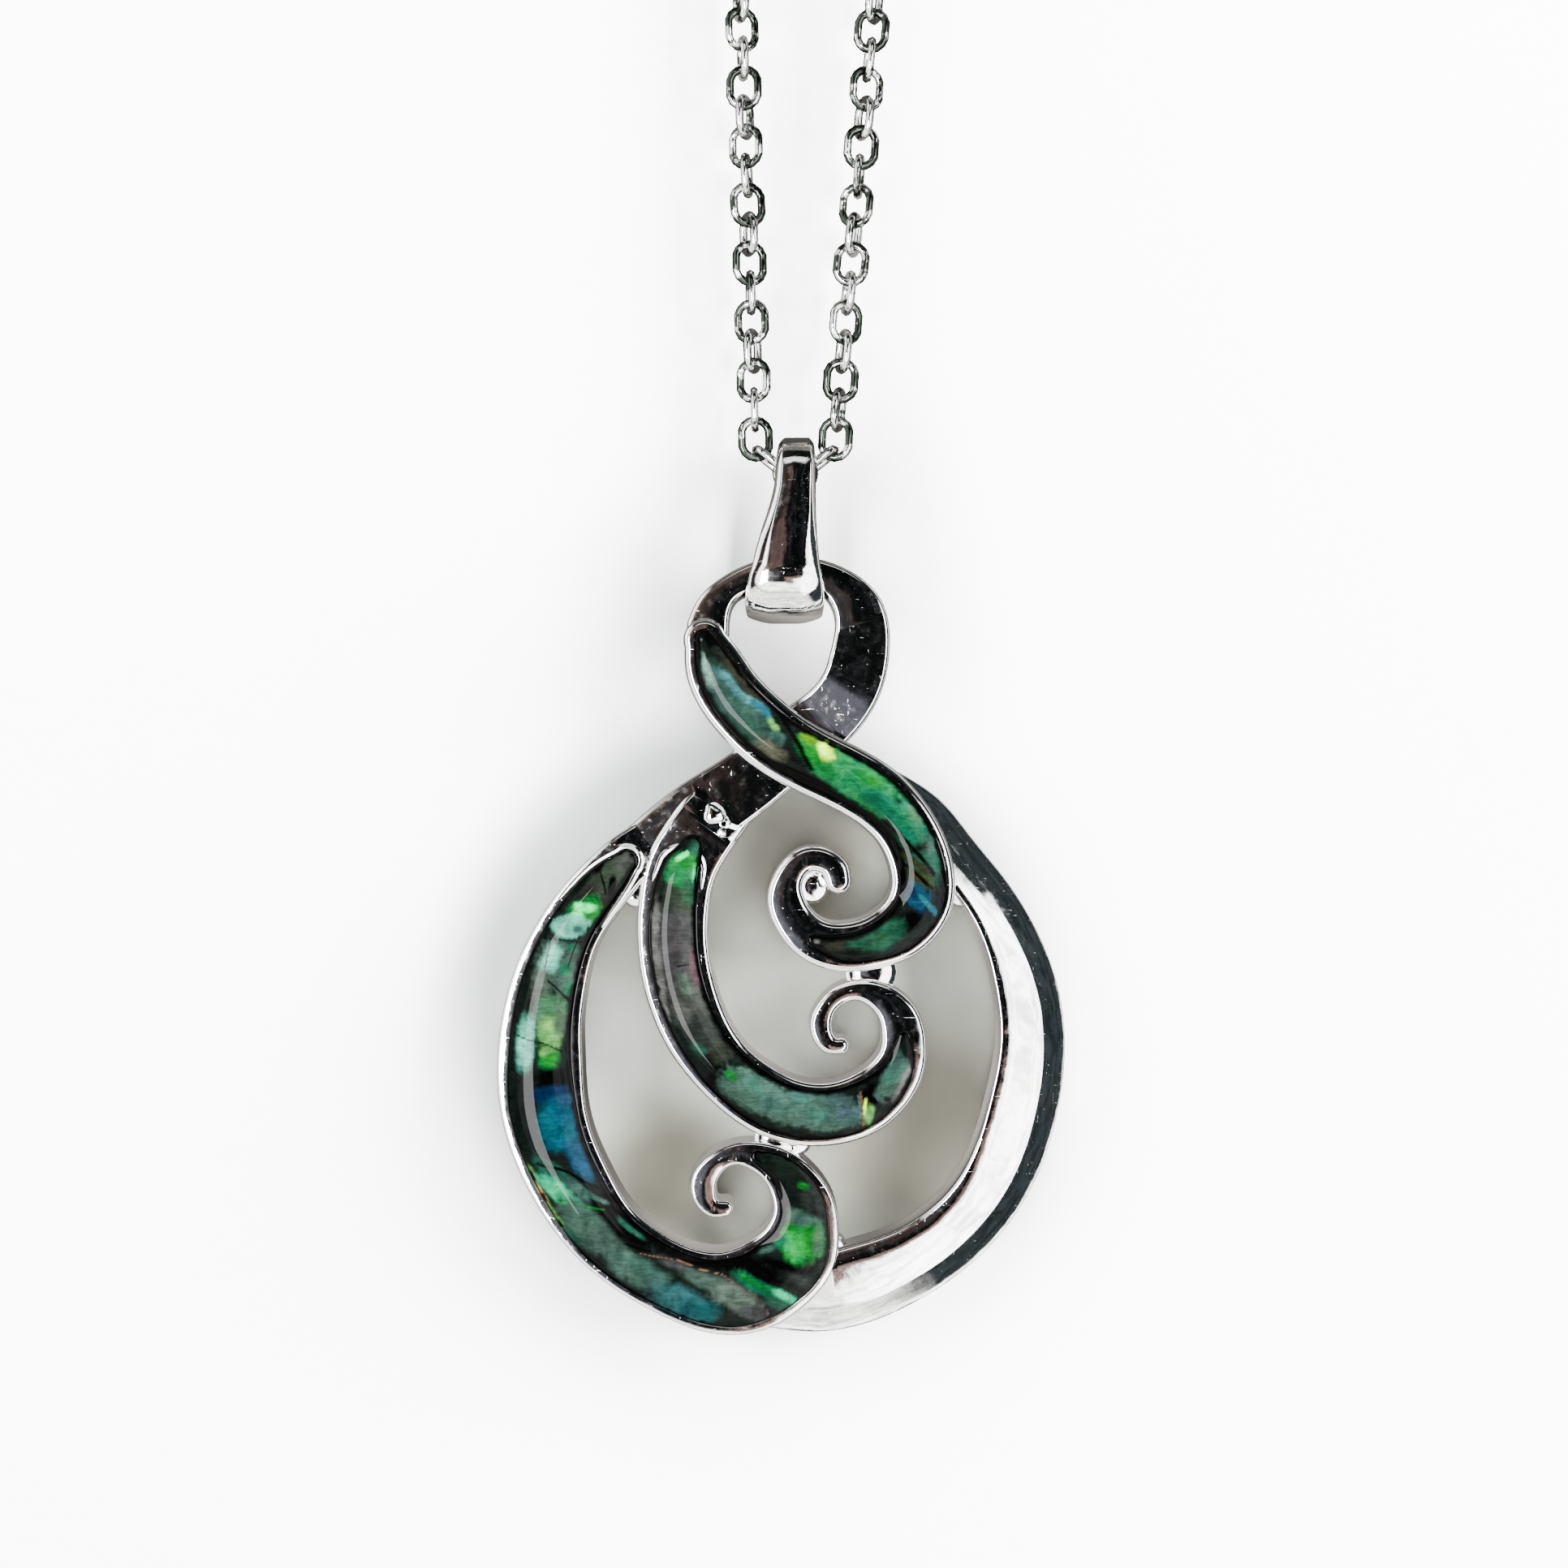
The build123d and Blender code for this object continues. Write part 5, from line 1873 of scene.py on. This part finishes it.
        # Painted light: a cloudy tone between 1.08 and 1.40 that brightens the paper behind the disc.
        thin = n.mix(n.ramp(n.noise(where, 130.0, 1.0), 0.36, 0.64), (1.08, 1.030, 0.945), (1.40, 1.345, 1.26))
        flat = n.add("ShaderNodeVectorMath", {0: where, 1: (1.0, 0.0, 1.0)}, operation="MULTIPLY").outputs[0]
        for shade in SHADES:
            middle = ((DISC_X + shade.shift[0]) * MM, 0.0, (DISC_Z + shade.shift[1]) * MM)
            away = n.add("ShaderNodeVectorMath", {0: flat, 1: middle}, operation="DISTANCE").outputs["Value"]
            darker = n.mix(1.0, shown, shade.tone or thin, "MULTIPLY")
            shown = n.mix(n.ramp(away, shade.outer * MM, shade.inner * MM), shown, darker)
        return shown

    def lamp(
        self, name: str, azimuth: float, elevation: float, distance: float, size: tuple[float, float],
        radiance: float, mirrored: bool,
    ) -> None:
        """Put up a soft box aimed at the pendant.

        Args:
            name: Name of the lamp.
            azimuth, elevation: Where it stands, in degrees from the front.
            distance: How far away it stands.
            size: Its width and height.
            radiance: How bright its face is.
            mirrored: Whether it is mirrored as a bright strip, or else lights pale things.
        """
        a, e = math.radians(azimuth), math.radians(elevation)
        way = Vector((math.sin(a) * math.cos(e), -math.cos(a) * math.cos(e), math.sin(e)))
        light = bpy.data.lights.new(name, "AREA")
        light.shape, light.size, light.size_y = "RECTANGLE", size[0], size[1]
        light.energy = radiance * math.pi * size[0] * size[1]
        lamp = linked(name, light)
        lamp.location = Vector(self.target) + way * distance
        lamp.rotation_euler = way.to_track_quat("Z", "Y").to_euler()
        lamp.visible_camera, lamp.visible_glossy, lamp.visible_diffuse = False, mirrored, not mirrored

    @staticmethod
    def world() -> None:
        """Make a dark room with the pale cards that the silver mirrors."""
        world = bpy.data.worlds.new("room")
        bpy.context.scene.world = world
        world.use_nodes = True
        n = Nodes(world.node_tree)
        way = n.add("ShaderNodeTexCoord").outputs["Generated"]
        x, y, z = n.add("ShaderNodeSeparateXYZ", {0: way}).outputs
        # Degrees from the line to the camera, and the distance from that line
        angle = n.math("MULTIPLY", n.math("ARCCOSINE", n.math("MULTIPLY", y, -1.0)), 180 / math.pi)
        across = n.math("SQRT", n.math("ADD", n.math("MULTIPLY", x, x), n.math("MULTIPLY", z, z)))
        rim = n.math("ADD", across, 1e-5)
        mood = n.noise(way, 13.0, 4.0, 0.6)
        drift = {"Vector": way, "Scale": 16.0, "Detail": 3.0, "Roughness": 0.6, "W": 4.0}
        cast = n.add("ShaderNodeTexNoise", drift, noise_dimensions="4D").outputs[0]
        room = n.mix(n.ramp(mood, 0.50, 0.70), (0.004, 0.005, 0.005), (0.025, 0.027, 0.031))
        dusk = n.mix(n.ramp(cast, 0.50, 0.58), (0.075, 0.052, 0.044), (0.050, 0.062, 0.095))
        dusk = n.mix(n.ramp(mood, 0.40, 0.60), dusk, (0.020, 0.017, 0.014))
        leftward = n.math("ADD", n.math("MULTIPLY", x, -1.0), n.math("MULTIPLY", z, 0.15))
        leftward = n.ramp(n.math("DIVIDE", leftward, rim), 0.1, 0.8)
        room = n.mix(n.math("MULTIPLY", leftward, n.ramp(angle, 0.5, 3.5)), room, dusk)
        for zone in ZONES:
            toward = n.math("MULTIPLY", x, zone.heading[0]), n.math("MULTIPLY", z, zone.heading[1])
            share = n.ramp(n.math("DIVIDE", n.math("ADD", *toward), rim), *zone.sector)
            share = n.math("MULTIPLY", share, n.ramp(angle, *zone.rise))
            share = n.math("MULTIPLY", share, n.ramp(angle, *zone.fall))
            room = n.mix(share, room, zone.tone)
        room = n.mix(1.0, room, n.grey(n.ramp(mood, 0.35, 0.65, 0.60, 1.45)), "MULTIPLY")
        rays = n.add("ShaderNodeLightPath").outputs
        direct = n.ramp(rays["Diffuse Depth"], 0.4, 0.6, 1.0, 0.0)
        mirrored = n.math("MULTIPLY", rays["Is Glossy Ray"], direct)
        # Whole lights are mixed, which spares every ray that isn't mirrored the room's many nodes
        plain = world.node_tree.nodes["Background"]
        plain.inputs["Color"].default_value = (0.40, 0.405, 0.41, 1.0)
        light = plain.outputs[0]
        for share, tone in ((mirrored, room), (rays["Is Camera Ray"], (1.9, 1.92, 1.93, 1.0))):
            other = n.add("ShaderNodeBackground", {"Color": tone}).outputs[0]
            light = n.add("ShaderNodeMixShader", {0: share, 1: light, 2: other}).outputs[0]
        world.node_tree.links.new(light, world.node_tree.nodes["World Output"].inputs["Surface"])

    def camera(self) -> None:
        """Set up the photograph's view: level, square on, 120 mm in front of the disc."""
        eye = bpy.data.cameras.new("photo_view")
        eye.sensor_fit, eye.sensor_width = "HORIZONTAL", self.sensor
        eye.angle = math.radians(self.eye_angle)
        eye.clip_start = 0.005
        camera = linked("photo_view", eye)
        camera.location = self.eye_place
        camera.rotation_euler = (math.radians(90), 0, 0)
        bpy.context.scene.camera = camera


def settle(piece: bpy.types.Object, body: str, nodes: Sequence[str]) -> None:
    """Let a piece ride on a body and stand for nodes, and report it.

    Args:
        piece: The piece.
        body: The body that carries it.
        nodes: The CAD nodes that it stands for.
    """
    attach(piece, body)
    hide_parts(*nodes)
    said = (piece.name, body, ", ".join(nodes), len(piece.data.vertices))
    LOG.info("%s rides on %s and stands for %s, %d corners", *said)


def main() -> None:
    """Build the pieces in order, dress them and report each one."""
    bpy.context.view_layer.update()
    polish = polish_group()
    cast = Silver("cast_silver", polish, roughness=0.045, bump=0.000045).material()
    strap = Silver("bail_silver", polish, roughness=0.05, bump=0.00005, wave=1.5, scratch=0.8).material()
    wire = Silver("chain_silver", polish, roughness=0.08, bump=0.00002, shade=0.95, painted_dark_reflection=0.80).material()
    shell = Shell("shell_inlay").material()

    settle(CastFrame(cast).build(), "pendant", ["pendant_frame"])
    for node, *held in (
        ("twist", TWIST_ROWS, TWIST_FRONT, TWIST_PATCHES, TWIST_VEINS, (0.16, 0.30)),
        ("middle", MIDDLE_ROWS, FRONT, MIDDLE_PATCHES, MIDDLE_VEINS, (0.18, 0.13)),
        ("outer", OUTER_ROWS, FRONT, OUTER_PATCHES, OUTER_VEINS, (0.22, 0.06)),
    ):
        inlay = ShellInlay(f"shell_{node}", *held, shell)
        settle(inlay.build(), "pendant", [f"inlay_{node}"])
    settle(Bail(strap).build(), "bail", ["bail"])
    front, back, clasp = CableChain(wire).build()
    settle(front, "chain", ["chain_front"])
    settle(back, "chain", ["chain_back"])
    settle(Clasp(wire, *clasp).build(), "chain", ["clasp"])
    Studio().build()


if __name__ == "__main__":
    main()
